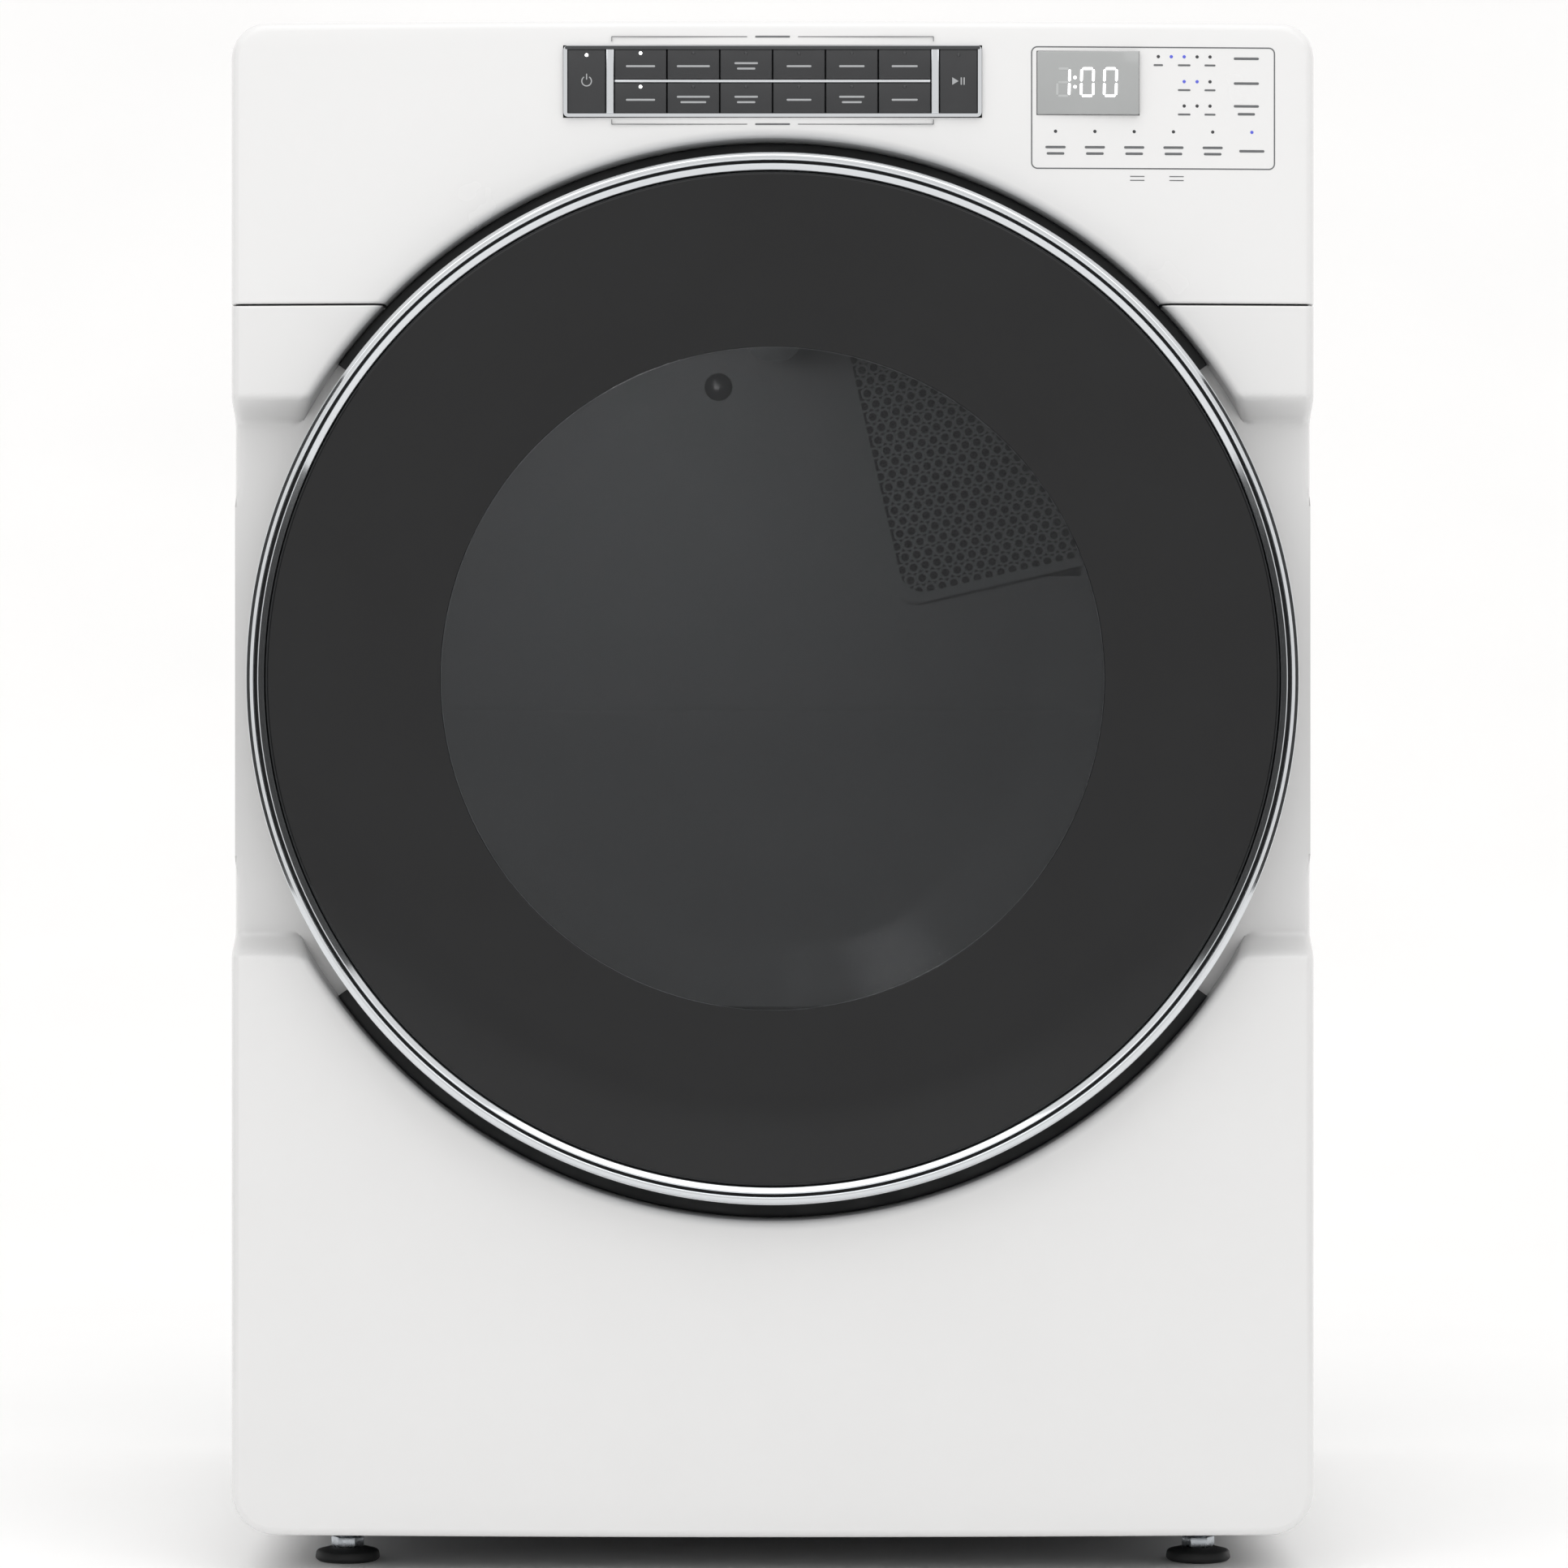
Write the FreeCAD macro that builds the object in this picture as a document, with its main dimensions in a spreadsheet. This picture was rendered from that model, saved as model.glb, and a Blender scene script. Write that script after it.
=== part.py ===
import FreeCAD, Part
import math
import os
import re
import Sketcher

# Front-loading clothes dryer, in millimetres.
# +Z is up, the door faces -Y, +X is on the right of someone who faces the door.
# The origin is on the floor, at the middle of the dryer's box.

SIZES = {
    # cabinet
    "width": 686, "height": 984, "foot_height": 26, "steel": 0.9,
    "proud_y": -365, "side_y": -353, "floor_y": -326, "rear_y": 363, "collar_y": 393.5,
    "seam_z": 806, "seam_gap": 1.2, "top_round": 22, "low_round": 28, "edge_round": 5.5,
    "flange_y": -317,
    # door and the dish it closes into
    "door_z": 568, "door_face": -393.5, "skirt_y": -354, "ring_out": 330, "glass_out": 318,
    "dish_out": 342, "scoop_low": 177, "scoop_top": 163, "ramp": 17,
    "opening": 232, "throat": 225, "bowl_rim": 208, "bowl_floor": 160, "bowl_y": -285,
    # door hinge
    "pivot_x": 307, "pivot_y": -362, "barrel": 4.5, "pin": 2.5, "leaf_half": 50, "knuckle": 15.5,
    # console strip
    "strip_z": 945.5, "strip_half_x": 132.3, "strip_half_z": 22.9, "strip_y": -366,
    "key_half_z": 20.4, "bar_in": 100, "bar_out": 105.2, "key_out": 129.5, "row_bar": 0.8,
    "key_gap": 0.35, "key_depth": 4,
    "window_x": 199.3, "window_z": 944.8, "window_half_x": 32.6, "window_half_z": 20.3,
    # drum and bulkheads
    "drum_out": 322.2, "drum_skin": 1.2, "drum_front": -250, "drum_back": 315,
    "bulkhead_y": -262, "back_wall_y": 318, "roller": 35, "roller_x": 178, "shaft": 6,
    # air path
    "blower_x": 125, "blower_z": 147, "wheel": 80, "scroll": 92, "duct": 50.6, "duct_z": 108,
    "filter_front": -279, "filter_back": -267,
    # drive
    "motor": 62, "pulley": 13, "belt": 3, "belt_y": 2, "belt_wide": 12,
    "idler": 25, "idler_x": 66, "idler_z": 178, "arm_x": 100, "arm_z": 84,
}

doc = FreeCAD.newDocument("clothes_dryer")
dims = doc.addObject("Spreadsheet::Sheet", "dims")
for row, (alias, size) in enumerate(SIZES.items(), start=1):
    dims.set(f"A{row}", alias)
    dims.set(f"B{row}", str(size))
    dims.setAlias(f"B{row}", alias)
doc.recompute()

nodes = {}


def formula(text):
    """Write a size such as 'door_z + 5' as an expression on the sheet's cells."""
    return re.sub(r"\b([a-z]\w*)\b(?!\s*\()", r"dims.\1", str(text))


def value(text):
    """The present value of such a size, in millimetres."""
    return float(dims.evalExpression(formula(text)))


def bind(thing, prop, text):
    thing.setExpression(prop, formula(text))


def place(thing, x=0, y=0, z=0):
    for axis, text in zip("xyz", (x, y, z)):
        bind(thing, f"Placement.Base.{axis}", text)


def node(name, thing):
    """Keep a finished piece under the name of its file."""
    thing.Label = name
    nodes[name] = thing
    return thing


def box(name, x, y, z):
    """A box between the low and high size on each axis."""
    thing = doc.addObject("Part::Box", name)
    for prop, (low, high) in zip(("Length", "Width", "Height"), (x, y, z)):
        bind(thing, prop, f"({high}) - ({low})")
    place(thing, x[0], y[0], z[0])
    return thing


TURNS = {
    "X": FreeCAD.Rotation(FreeCAD.Vector(0, 1, 0), 90),
    "Y": FreeCAD.Rotation(FreeCAD.Vector(1, 0, 0), -90),
    "Z": FreeCAD.Rotation(),
}


def rod(name, radius, axis, first, second, low, high):
    """A cylinder along an axis; first and second are its centre on the other two axes."""
    thing = doc.addObject("Part::Cylinder", name)
    bind(thing, "Radius", radius)
    bind(thing, "Height", f"({high}) - ({low})")
    thing.Placement = FreeCAD.Placement(FreeCAD.Vector(), TURNS[axis])
    centre = {"X": (low, first, second), "Y": (first, low, second), "Z": (first, second, low)}
    place(thing, *centre[axis])
    return thing


def cut(name, base, *tools):
    for number, tool in enumerate(tools):
        step = doc.addObject("Part::Cut", f"{name}_cut{number}")
        step.Base = base
        step.Tool = tool
        base = step
    return base


def fuse(name, *things):
    thing = doc.addObject("Part::MultiFuse", f"{name}_whole")
    thing.Shapes = list(things)
    return thing


def group(name, *things):
    """Separate solids that share one file."""
    thing = doc.addObject("Part::Compound", f"{name}_group")
    thing.Links = list(things)
    return thing


def tube(name, outer, inner, axis, first, second, low, high):
    return cut(
        name,
        rod(f"{name}_outer", outer, axis, first, second, low, high),
        rod(f"{name}_inner", inner, axis, first, second, f"({low}) - 1", f"({high}) + 1"),
    )


def outline(name, role, points):
    """A body with a closed sketch of straight lines on one of its origin planes."""
    body = doc.addObject("PartDesign::Body", name)
    sketch = body.newObject("Sketcher::SketchObject", f"{name}_sketch")
    plane = next(item for item in body.Origin.OriginFeatures if item.Role == role)
    sketch.AttachmentSupport = [(plane, "")]
    sketch.MapMode = "FlatFace"
    corners = [FreeCAD.Vector(value(a), value(b), 0) for a, b in points]
    count = len(corners)
    for i in range(count):
        sketch.addGeometry(Part.LineSegment(corners[i], corners[(i + 1) % count]), False)
    for i in range(count):
        sketch.addConstraint(Sketcher.Constraint("Coincident", i, 2, (i + 1) % count, 1))
    for i, texts in enumerate(points):
        for kind, text, at in zip(("DistanceX", "DistanceY"), texts, corners[i]):
            number = sketch.addConstraint(Sketcher.Constraint(kind, -1, 1, i, 1, at))
            sketch.setExpression(f"Constraints[{number}]", formula(text))
    return body, sketch


def spun(name, points, x=0, z="door_z"):
    """A solid of revolution about a Y axis; points are (y, radius)."""
    body, sketch = outline(name, "YZ_Plane", points)
    turn = body.newObject("PartDesign::Revolution", f"{name}_turn")
    turn.Profile = sketch
    turn.ReferenceAxis = (sketch, ["H_Axis"])
    turn.Angle = 360
    place(body, x, 0, z)
    return body


def plate(name, role, points, low, high):
    """A padded outline: XZ_Plane between two Y, XY_Plane between two Z, YZ_Plane between two X."""
    body, sketch = outline(name, role, points)
    pad = body.newObject("PartDesign::Pad", f"{name}_pad")
    pad.Profile = sketch
    bind(pad, "Length", f"({high}) - ({low})")
    if role == "XZ_Plane":
        place(body, 0, high, 0)
    elif role == "XY_Plane":
        place(body, 0, 0, low)
    else:
        place(body, low, 0, 0)
    return body


def solid(name, shape):
    """A piece whose shape comes from its own edges."""
    thing = doc.addObject("Part::Feature", name)
    thing.Shape = shape
    return thing


# Front: one bowed block, used for the console and for the panel under it.


def bowed_block(name, low, high, inset, back, corner, corner_at_top):
    """A block whose front is an arc in plan, with rounded corners and edges, inset all round."""
    gap = value(inset)
    half = value("width / 2") - gap
    bottom = value(low) + gap
    top = value(high) - gap
    side = value("side_y") + gap
    front = value("proud_y") + gap
    rear = value(back) + (2 if gap else 0)
    arc = Part.Arc(
        FreeCAD.Vector(-half, side, bottom),
        FreeCAD.Vector(0, front, bottom),
        FreeCAD.Vector(half, side, bottom),
    ).toShape()
    corners = [(half, side), (half, rear), (-half, rear), (-half, side)]
    lines = [
        Part.makeLine(FreeCAD.Vector(*a, bottom), FreeCAD.Vector(*b, bottom))
        for a, b in zip(corners, corners[1:])
    ]
    block = Part.Face(Part.Wire([arc] + lines)).extrude(FreeCAD.Vector(0, 0, top - bottom))
    end_z = top if corner_at_top else bottom
    upright = [
        edge for edge in block.Edges
        if abs(edge.BoundBox.ZLength) < 0.01 and abs(edge.BoundBox.ZMin - end_z) < 0.01
        and edge.BoundBox.XLength < 0.01
    ]
    block = block.makeFillet(value(corner) - gap, upright)
    rims = [
        edge for edge in block.Edges
        if edge.BoundBox.YMax < side + 0.5 and edge.BoundBox.YMin < side + 0.5
    ]
    block = block.makeFillet(value("edge_round") - gap, rims)
    return solid(name, block)


def dish(name, grow):
    """What the press pushes back round the door: a round dish and the two side scoops."""
    well = rod(f"{name}_well", f"dish_out + ({grow})", "Y", 0, "door_z", "-420", f"floor_y + ({grow})")
    top = "door_z + scoop_top"
    low = "door_z - scoop_low"
    edges = [
        ("-420", f"{low} - 4 - ({grow})"), ("proud_y", f"{low} - ({grow})"),
        (f"floor_y + ({grow})", f"{low} + ramp - ({grow})"),
        (f"floor_y + ({grow})", f"{top} + ({grow})"),
        ("proud_y", f"{top} + ramp + ({grow})"), ("-420", f"{top} + ramp + 4 + ({grow})"),
    ]
    right = plate(f"{name}_right", "YZ_Plane", edges, "250", "360")
    left = plate(f"{name}_left", "YZ_Plane", edges, "-360", "-250")
    return fuse(name, well, right, left)


def front_panel():
    outer = bowed_block("panel_outer", "foot_height", "seam_z - seam_gap", "0", "flange_y",
                        "low_round", False)
    inner = bowed_block("panel_inner", "foot_height", "seam_z - seam_gap", "steel", "flange_y",
                        "low_round", False)
    pressed = cut("panel_front", outer, dish("dish_front", "0"))
    hollow = cut("panel_back", inner, dish("dish_back", "steel"))
    way_in = rod("panel_opening", "opening", "Y", 0, "door_z", "-400", "-300")
    slot = box("panel_slot", ("-300", "-280"), ("-330", "-320"), ("door_z - 13", "door_z + 13"))
    return node("front_panel", cut("front_panel", pressed, hollow, way_in, slot))


def console_fascia():
    outer = bowed_block("fascia_outer", "seam_z", "height", "0", "flange_y", "top_round", True)
    inner = bowed_block("fascia_inner", "seam_z", "height", "2 * steel", "flange_y", "top_round", True)
    arched = cut("fascia_front", outer, dish("arch_front", "0"))
    hollow = cut("fascia_back", inner, dish("arch_back", "2 * steel"))
    strip = box("fascia_strip", ("-strip_half_x", "strip_half_x"), ("-400", "-340"),
                ("strip_z - strip_half_z", "strip_z + strip_half_z"))
    window = box("fascia_window", ("window_x - window_half_x", "window_x + window_half_x"),
                 ("-400", "-340"), ("window_z - window_half_z", "window_z + window_half_z"))
    return node("console_fascia", cut("console_fascia", arched, hollow, strip, window))


def console_bezel():
    """The bright frame of the key strip, with a bar at each end of the rows and one between them."""
    frame = box("bezel_frame", ("-strip_half_x + 0.3", "strip_half_x - 0.3"), ("strip_y", "-352"),
                ("strip_z - strip_half_z + 0.3", "strip_z + strip_half_z - 0.3"))
    low, high = "strip_z - key_half_z", "strip_z + key_half_z"
    wells = [
        box("bezel_power", ("-key_out", "-bar_out"), ("-380", "-340"), (low, high)),
        box("bezel_start", ("bar_out", "key_out"), ("-380", "-340"), (low, high)),
        box("bezel_upper", ("-bar_in", "bar_in"), ("-380", "-340"), ("strip_z + row_bar", high)),
        box("bezel_lower", ("-bar_in", "bar_in"), ("-380", "-340"), (low, "strip_z - row_bar")),
    ]
    return node("console_bezel", cut("console_bezel", frame, *wells))


def key(name, x, z):
    """A key cap with the stem that presses its switch."""
    cap = box(f"{name}_cap", (f"({x[0]}) + key_gap", f"({x[1]}) - key_gap"),
              ("strip_y + 0.4", "strip_y + 0.4 + key_depth"),
              (f"({z[0]}) + key_gap", f"({z[1]}) - key_gap"))
    middle_x = f"(({x[0]}) + ({x[1]})) / 2"
    middle_z = f"(({z[0]}) + ({z[1]})) / 2"
    stem = rod(f"{name}_stem", "3", "Y", middle_x, middle_z,
               "strip_y + 0.4 + key_depth - 0.5", "-348")
    return node(name, fuse(name, cap, stem))


def keys():
    low, high = "strip_z - key_half_z", "strip_z + key_half_z"
    key("power_key", ("-key_out", "-bar_out"), (low, high))
    key("start_key", ("bar_out", "key_out"), (low, high))
    for number in range(1, 7):
        x = (f"bar_in * {(number - 4) / 3:.6f}", f"bar_in * {(number - 3) / 3:.6f}")
        key(f"load_key_{number}", x, ("strip_z + row_bar", high))
        key(f"cycle_key_{number}", x, (low, "strip_z - row_bar"))


def display_window():
    pane = box("window_pane", ("window_x - window_half_x + 0.3", "window_x + window_half_x - 0.3"),
               ("-363.2", "-352"),
               ("window_z - window_half_z + 0.3", "window_z + window_half_z - 0.3"))
    return node("display_window", pane)


def control_board():
    board = box("board_plate", ("-135", "235"), ("-345.6", "-344"), ("918", "972"))
    return node("control_board", board)


def door_ring():
    ring = spun("ring_turned", [
        ("skirt_y", "ring_out"), ("door_face + 2", "ring_out"), ("door_face", "ring_out - 2"),
        ("door_face", "ring_out - 4.8"), ("door_face + 2.2", "ring_out - 5.5"),
        ("door_face + 1", "ring_out - 6.4"), ("door_face + 4", "glass_out + 0.3"),
        ("door_face + 8", "glass_out + 0.3"), ("door_face + 8", "glass_out - 6"),
        ("door_face + 9.7", "glass_out - 6"), ("door_face + 9.7", "ring_out - 4"),
        ("skirt_y", "ring_out - 4"),
    ])
    notch = box("ring_notch", ("pivot_x - 5", "345"), ("-374", "-340"),
                ("door_z - leaf_half - 8", "door_z + leaf_half + 8"))
    return node("door_ring", cut("door_ring", ring, notch))


def door_glass():
    return node("door_glass", spun("door_glass", [
        ("door_face + 2.2", "0"), ("door_face + 2.2", "glass_out - 2"), ("door_face + 3.4", "glass_out"),
        ("door_face + 7.8", "glass_out"), ("door_face + 7.8", "0"),
    ]))


def door_liner():
    liner = spun("door_liner", [
        ("skirt_y + 1", "bowl_rim + 4"), ("skirt_y + 1", "300"), ("-381", "300"),
        ("-381", "ring_out - 4.3"), ("-383.6", "ring_out - 4.3"), ("-383.6", "297"),
        ("skirt_y - 2", "297"), ("skirt_y - 2", "bowl_rim + 4"),
    ])
    return node("door_liner", liner)


def door_bowl():
    return node("door_bowl", spun("door_bowl", [
        ("-359.2", "bowl_rim + 16"), ("-356.2", "bowl_rim + 16"), ("-356.2", "bowl_rim + 3"),
        ("-350", "bowl_rim"), ("bowl_y - 4", "bowl_floor + 10"), ("bowl_y", "bowl_floor"),
        ("bowl_y", "0"), ("bowl_y - 3", "0"), ("bowl_y - 3", "bowl_floor - 1.5"),
        ("bowl_y - 6.5", "bowl_floor + 7"), ("-351.5", "bowl_rim - 3.2"), ("-359.2", "bowl_rim - 1.5"),
    ]))


def door_strike():
    bar = box("strike_bar", ("-293", "-287"), ("skirt_y + 1", "-312"), ("door_z - 8", "door_z + 8"))
    eye = box("strike_eye", ("-295", "-285"), ("-321", "-315"), ("door_z - 4.5", "door_z + 4.5"))
    return node("door_strike", cut("door_strike", bar, eye))


def door_catch():
    case = box("catch_case", ("-306", "-274"), ("-324.6", "-300"), ("door_z - 24", "door_z + 24"))
    mouth = box("catch_mouth", ("-298", "-282"), ("-330", "-308"), ("door_z - 12", "door_z + 12"))
    return node("door_catch", cut("door_catch", case, mouth))


def hinge():
    """Bracket on the dish floor, leaf on the liner, and the pin through their knuckles."""
    bore = "pin + 0.05"
    plate_back = box("bracket_plate", ("pivot_x - 22", "pivot_x + 14"), ("-328.2", "-326.2"),
                     ("door_z - leaf_half", "door_z + leaf_half"))
    fixed = []
    for side, (low, high) in {
        "low": ("door_z - leaf_half", "door_z - knuckle - 0.5"),
        "high": ("door_z + knuckle + 0.5", "door_z + leaf_half"),
    }.items():
        arm = box(f"bracket_arm_{side}", ("pivot_x - 3.5", "pivot_x + 0.5"), ("pivot_y", "-327"),
                  (low, high))
        barrel = rod(f"bracket_barrel_{side}", "barrel", "Z", "pivot_x", "pivot_y", low, high)
        fixed += [arm, barrel]
    hole = rod("bracket_bore", bore, "Z", "pivot_x", "pivot_y", "door_z - 80", "door_z + 80")
    node("hinge_bracket", cut("hinge_bracket", fuse("bracket", plate_back, *fixed), hole))
    leaf = box("leaf_plate", ("300.3", "302"), ("-380", "-357"), ("door_z - 40", "door_z + 40"))
    tongue = box("leaf_tongue", ("301", "pivot_x"), ("pivot_y - 2.5", "pivot_y + 2.5"),
                 ("door_z - knuckle", "door_z + knuckle"))
    barrel = rod("leaf_barrel", "barrel", "Z", "pivot_x", "pivot_y", "door_z - knuckle",
                 "door_z + knuckle")
    turning = rod("leaf_bore", bore, "Z", "pivot_x", "pivot_y", "door_z - 80", "door_z + 80")
    node("door_hinge_leaf", cut("door_hinge_leaf", fuse("leaf", leaf, tongue, barrel), turning))
    node("hinge_pin", rod("hinge_pin", "pin", "Z", "pivot_x", "pivot_y",
                          "door_z - leaf_half - 3", "door_z + leaf_half + 3"))


def door_seal():
    return node("door_seal", tube("door_seal", "throat + 13", "throat + 1", "Y", 0, "door_z",
                                  "-352.4", "-340.2"))


# Cabinet.


def side_panel(name, side):
    """A sheet that curves in under the cabinet; side is -1 for left and 1 for right."""
    half = value("width / 2")
    steel = value("steel")
    low = value("foot_height")
    bend = value("low_round")
    top = value("height - top_round") - 0.5
    front, rear = value("flange_y") + 0.5, value("rear_y")
    tilt = math.sqrt(0.5)

    def line(radius_cut):
        """One face of the sheet, from its top to the lip under the base."""
        x = half - radius_cut
        inner = bend - radius_cut
        centre = (half - bend, low + bend)
        middle = FreeCAD.Vector(side * (centre[0] + inner * tilt), 0, centre[1] - inner * tilt)
        return (FreeCAD.Vector(side * x, 0, top), FreeCAD.Vector(side * x, 0, centre[1]),
                middle, FreeCAD.Vector(side * centre[0], 0, low + radius_cut))

    outer, inner = line(0), line(steel)
    edges = [
        Part.makeLine(outer[0], outer[1]), Part.Arc(outer[1], outer[2], outer[3]).toShape(),
        Part.makeLine(outer[3], inner[3]), Part.Arc(inner[3], inner[2], inner[1]).toShape(),
        Part.makeLine(inner[1], inner[0]), Part.makeLine(inner[0], outer[0]),
    ]
    sheet = Part.Face(Part.Wire(edges)).extrude(FreeCAD.Vector(0, rear - front, 0))
    sheet.translate(FreeCAD.Vector(0, front, 0))
    return node(name, solid(name, sheet))


def top_panel():
    """The lid, rolled down at both sides."""
    half = value("width / 2")
    top = value("height")
    bend = value("top_round")
    steel = value("steel")
    tilt = math.sqrt(0.5)
    edges = []
    ends = []
    for inset in (0, steel):
        radius = bend - inset
        turn_x, turn_z = half - bend, top - bend
        low_right = FreeCAD.Vector(turn_x + radius, 0, turn_z)
        mid_right = FreeCAD.Vector(turn_x + radius * tilt, 0, turn_z + radius * tilt)
        top_right = FreeCAD.Vector(turn_x, 0, turn_z + radius)
        low_left, mid_left, top_left = (
            FreeCAD.Vector(-p.x, 0, p.z) for p in (low_right, mid_right, top_right)
        )
        edges += [
            Part.Arc(low_right, mid_right, top_right).toShape(),
            Part.makeLine(top_right, top_left),
            Part.Arc(top_left, mid_left, low_left).toShape(),
        ]
        ends.append((low_right, low_left))
    edges += [Part.makeLine(*pair) for pair in zip(ends[0], ends[1])]
    face = Part.Face(Part.Wire(Part.__sortEdges__(edges)))
    front = value("flange_y") + 0.5
    sheet = face.extrude(FreeCAD.Vector(0, value("rear_y") - front, 0))
    sheet.translate(FreeCAD.Vector(0, front, 0))
    return node("top_panel", solid("top_panel", sheet))


def back_panel():
    """A sheet inside the cabinet's outline, with a disc that rounds off each corner."""
    across = "width / 2 - top_round"
    under = "width / 2 - low_round"
    low_edge = "foot_height + 1.6"
    corners = [
        rod(f"back_corner_{side}_{end}", f"{bend} - 1.6", "Y", f"{sign}({x})", z,
            "rear_y - 1.2", "rear_y")
        for side, sign in (("left", "-"), ("right", ""))
        for end, bend, x, z in (("top", "top_round", across, "height - top_round"),
                                ("low", "low_round", under, "foot_height + low_round"))
    ]
    sheet = fuse(
        "back_sheet",
        box("back_middle", ("-width / 2 + 1.6", "width / 2 - 1.6"), ("rear_y - 1.2", "rear_y"),
            ("foot_height + low_round", "height - top_round")),
        box("back_head", (f"-({across})", across), ("rear_y - 1.2", "rear_y"),
            ("height - top_round - 1", "height - 1.6")),
        box("back_foot", (f"-({under})", under), ("rear_y - 1.2", "rear_y"),
            (low_edge, "foot_height + low_round + 1")),
        *corners,
    )
    outlet = rod("back_outlet", "duct + 0.6", "Y", 0, "duct_z", "300", "400")
    entry = rod("back_entry", "14.3", "Y", "-230", "900", "300", "400")
    return node("back_panel", cut("back_panel", sheet, outlet, entry))


def base_pan():
    half = "width / 2 - low_round - 3"
    pan = box("pan_outer", (f"-({half})", half), ("-312", "rear_y - 2"),
              ("foot_height + 1.3", "foot_height + 26"))
    inside = box("pan_inner", (f"-({half}) + 1.1", f"({half}) - 1.1"), ("-310.9", "rear_y - 3.1"),
                 ("foot_height + 2.4", "foot_height + 30"))
    holes = [
        rod(f"pan_hole_{number}", "5.4", "Z", x, y, "20", "40")
        for number, (x, y) in enumerate(FOOT_PLACES.values())
    ]
    return node("base_pan", cut("base_pan", pan, inside, *holes))


FOOT_PLACES = {
    "front_left": ("-275", "-275"), "front_right": ("275", "-275"),
    "rear_left": ("-275", "320"), "rear_right": ("275", "320"),
}


def levelling_feet():
    for place_name, (x, y) in FOOT_PLACES.items():
        name = f"foot_{place_name}"
        pad = rod(f"{name}_pad", "21", "Z", x, y, "0", "9")
        nut = rod(f"{name}_nut", "11", "Z", x, y, "8.5", "16")
        stud = rod(f"{name}_stud", "5", "Z", x, y, "15", "foot_height + 32")
        node(name, fuse(name, pad, nut, stud))


def front_bulkhead():
    """The wall behind the front, with the throat that leads into the drum and the drum's bearing lip."""
    wall = box("bulkhead_wall", ("-width / 2 + 3", "width / 2 - 3"),
               ("bulkhead_y", "bulkhead_y + 1"), ("56", "height - 60"))
    collar = rod("throat_outer", "throat + 3", "Y", 0, "door_z", "-340", "bulkhead_y + 0.5")
    lip = tube("bearing_lip", "drum_out - drum_skin - 5", "drum_out - drum_skin - 7.5", "Y", 0,
               "door_z", "bulkhead_y + 0.5", "drum_front + 12")
    throat = rod("throat_inner", "throat", "Y", 0, "door_z", "-350", "-200")
    filter_slot = box("filter_slot", ("-119", "119"), ("-283.5", "-264.5"), ("300", "440"))
    air_way = rod("bulkhead_air", "62", "Y", "blower_x", "blower_z", "-300", "-200")
    return node("front_bulkhead", fuse("front_bulkhead",
                cut("bulkhead_throat", fuse("bulkhead", wall, collar), throat, filter_slot, air_way),
                lip))


def rear_bulkhead():
    wall = box("rear_wall", ("-width / 2 + 3", "width / 2 - 3"),
               ("back_wall_y", "back_wall_y + 1"), ("60", "height - 60"))
    lip = tube("rear_lip", "drum_out - drum_skin - 5", "drum_out - drum_skin - 7.5", "Y", 0,
               "door_z", "drum_back - 12", "back_wall_y + 0.5")
    air_in = box("rear_air_in", ("100", "230"), ("300", "340"), ("door_z + 90", "door_z + 190"))
    outlet = rod("rear_outlet", "duct + 1", "Y", 0, "duct_z", "300", "340")
    return node("rear_bulkhead", fuse("rear_bulkhead", cut("rear_sheet", wall, air_in, outlet), lip))


def inlet_grille():
    """A perforated plate, a turned square cut round by the drum's bearing lip."""
    turned = doc.addObject("Part::Box", "grille_square")
    turned.Length, turned.Width, turned.Height = 240, 1.2, 270
    turned.Placement = FreeCAD.Placement(
        FreeCAD.Vector(), FreeCAD.Rotation(FreeCAD.Vector(0, 1, 0), -13))
    place(turned, "93", "back_wall_y - 2", "door_z + 66")
    limit = rod("grille_limit", "drum_out - 22", "Y", 0, "door_z", "300", "330")
    kept = doc.addObject("Part::Common", "grille_kept")
    kept.Base = turned
    kept.Tool = limit
    slots = [
        box(f"grille_slot_{number}", ("115", "225"), ("300", "330"),
            (f"door_z + {100 + 15 * number}", f"door_z + {106 + 15 * number}"))
        for number in range(6)
    ]
    return node("inlet_grille", cut("inlet_grille", kept, *slots))


def heater_box():
    shell = box("heater_outer", ("60", "290"), ("back_wall_y + 2.5", "rear_y - 4"), ("250", "830"))
    inside = box("heater_inner", ("61", "289"), ("back_wall_y", "rear_y - 5"), ("251", "829"))
    return node("heater_box", cut("heater_box", shell, inside))


# Drum and drive.


def drum():
    rim = "drum_out + 2"
    return node("drum", spun("drum", [
        ("drum_front", "drum_out - drum_skin"), ("drum_front", rim), ("drum_front + 5", rim),
        ("drum_front + 5", "drum_out"), ("drum_back - 5", "drum_out"), ("drum_back - 5", rim),
        ("drum_back", rim), ("drum_back", "drum_out - drum_skin"),
    ]))


def drum_baffles():
    """Three lifters inside the drum, a third of a turn apart."""
    seat = "drum_out - drum_skin - 3.6"
    bars = []
    for number in range(3):
        name = f"baffle_{number}"
        body = plate(name, "XZ_Plane", [
            ("-44", f"-({seat})"), ("-15", f"-({seat}) + 66"), ("-9", f"-({seat}) + 72"),
            ("9", f"-({seat}) + 72"), ("15", f"-({seat}) + 66"), ("44", f"-({seat})"),
            ("40", f"-({seat})"), ("11.4", f"-({seat}) + 64"), ("-11.4", f"-({seat}) + 64"),
            ("-40", f"-({seat})"),
        ], "drum_front + 18", "drum_back - 28")
        turn = FreeCAD.Rotation(FreeCAD.Vector(0, 1, 0), 120 * number + 60)
        body.Placement = FreeCAD.Placement(FreeCAD.Vector(), turn)
        place(body, 0, "drum_back - 28", "door_z")
        bars.append(body)
    return node("drum_baffles", group("drum_baffles", *bars))


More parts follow.
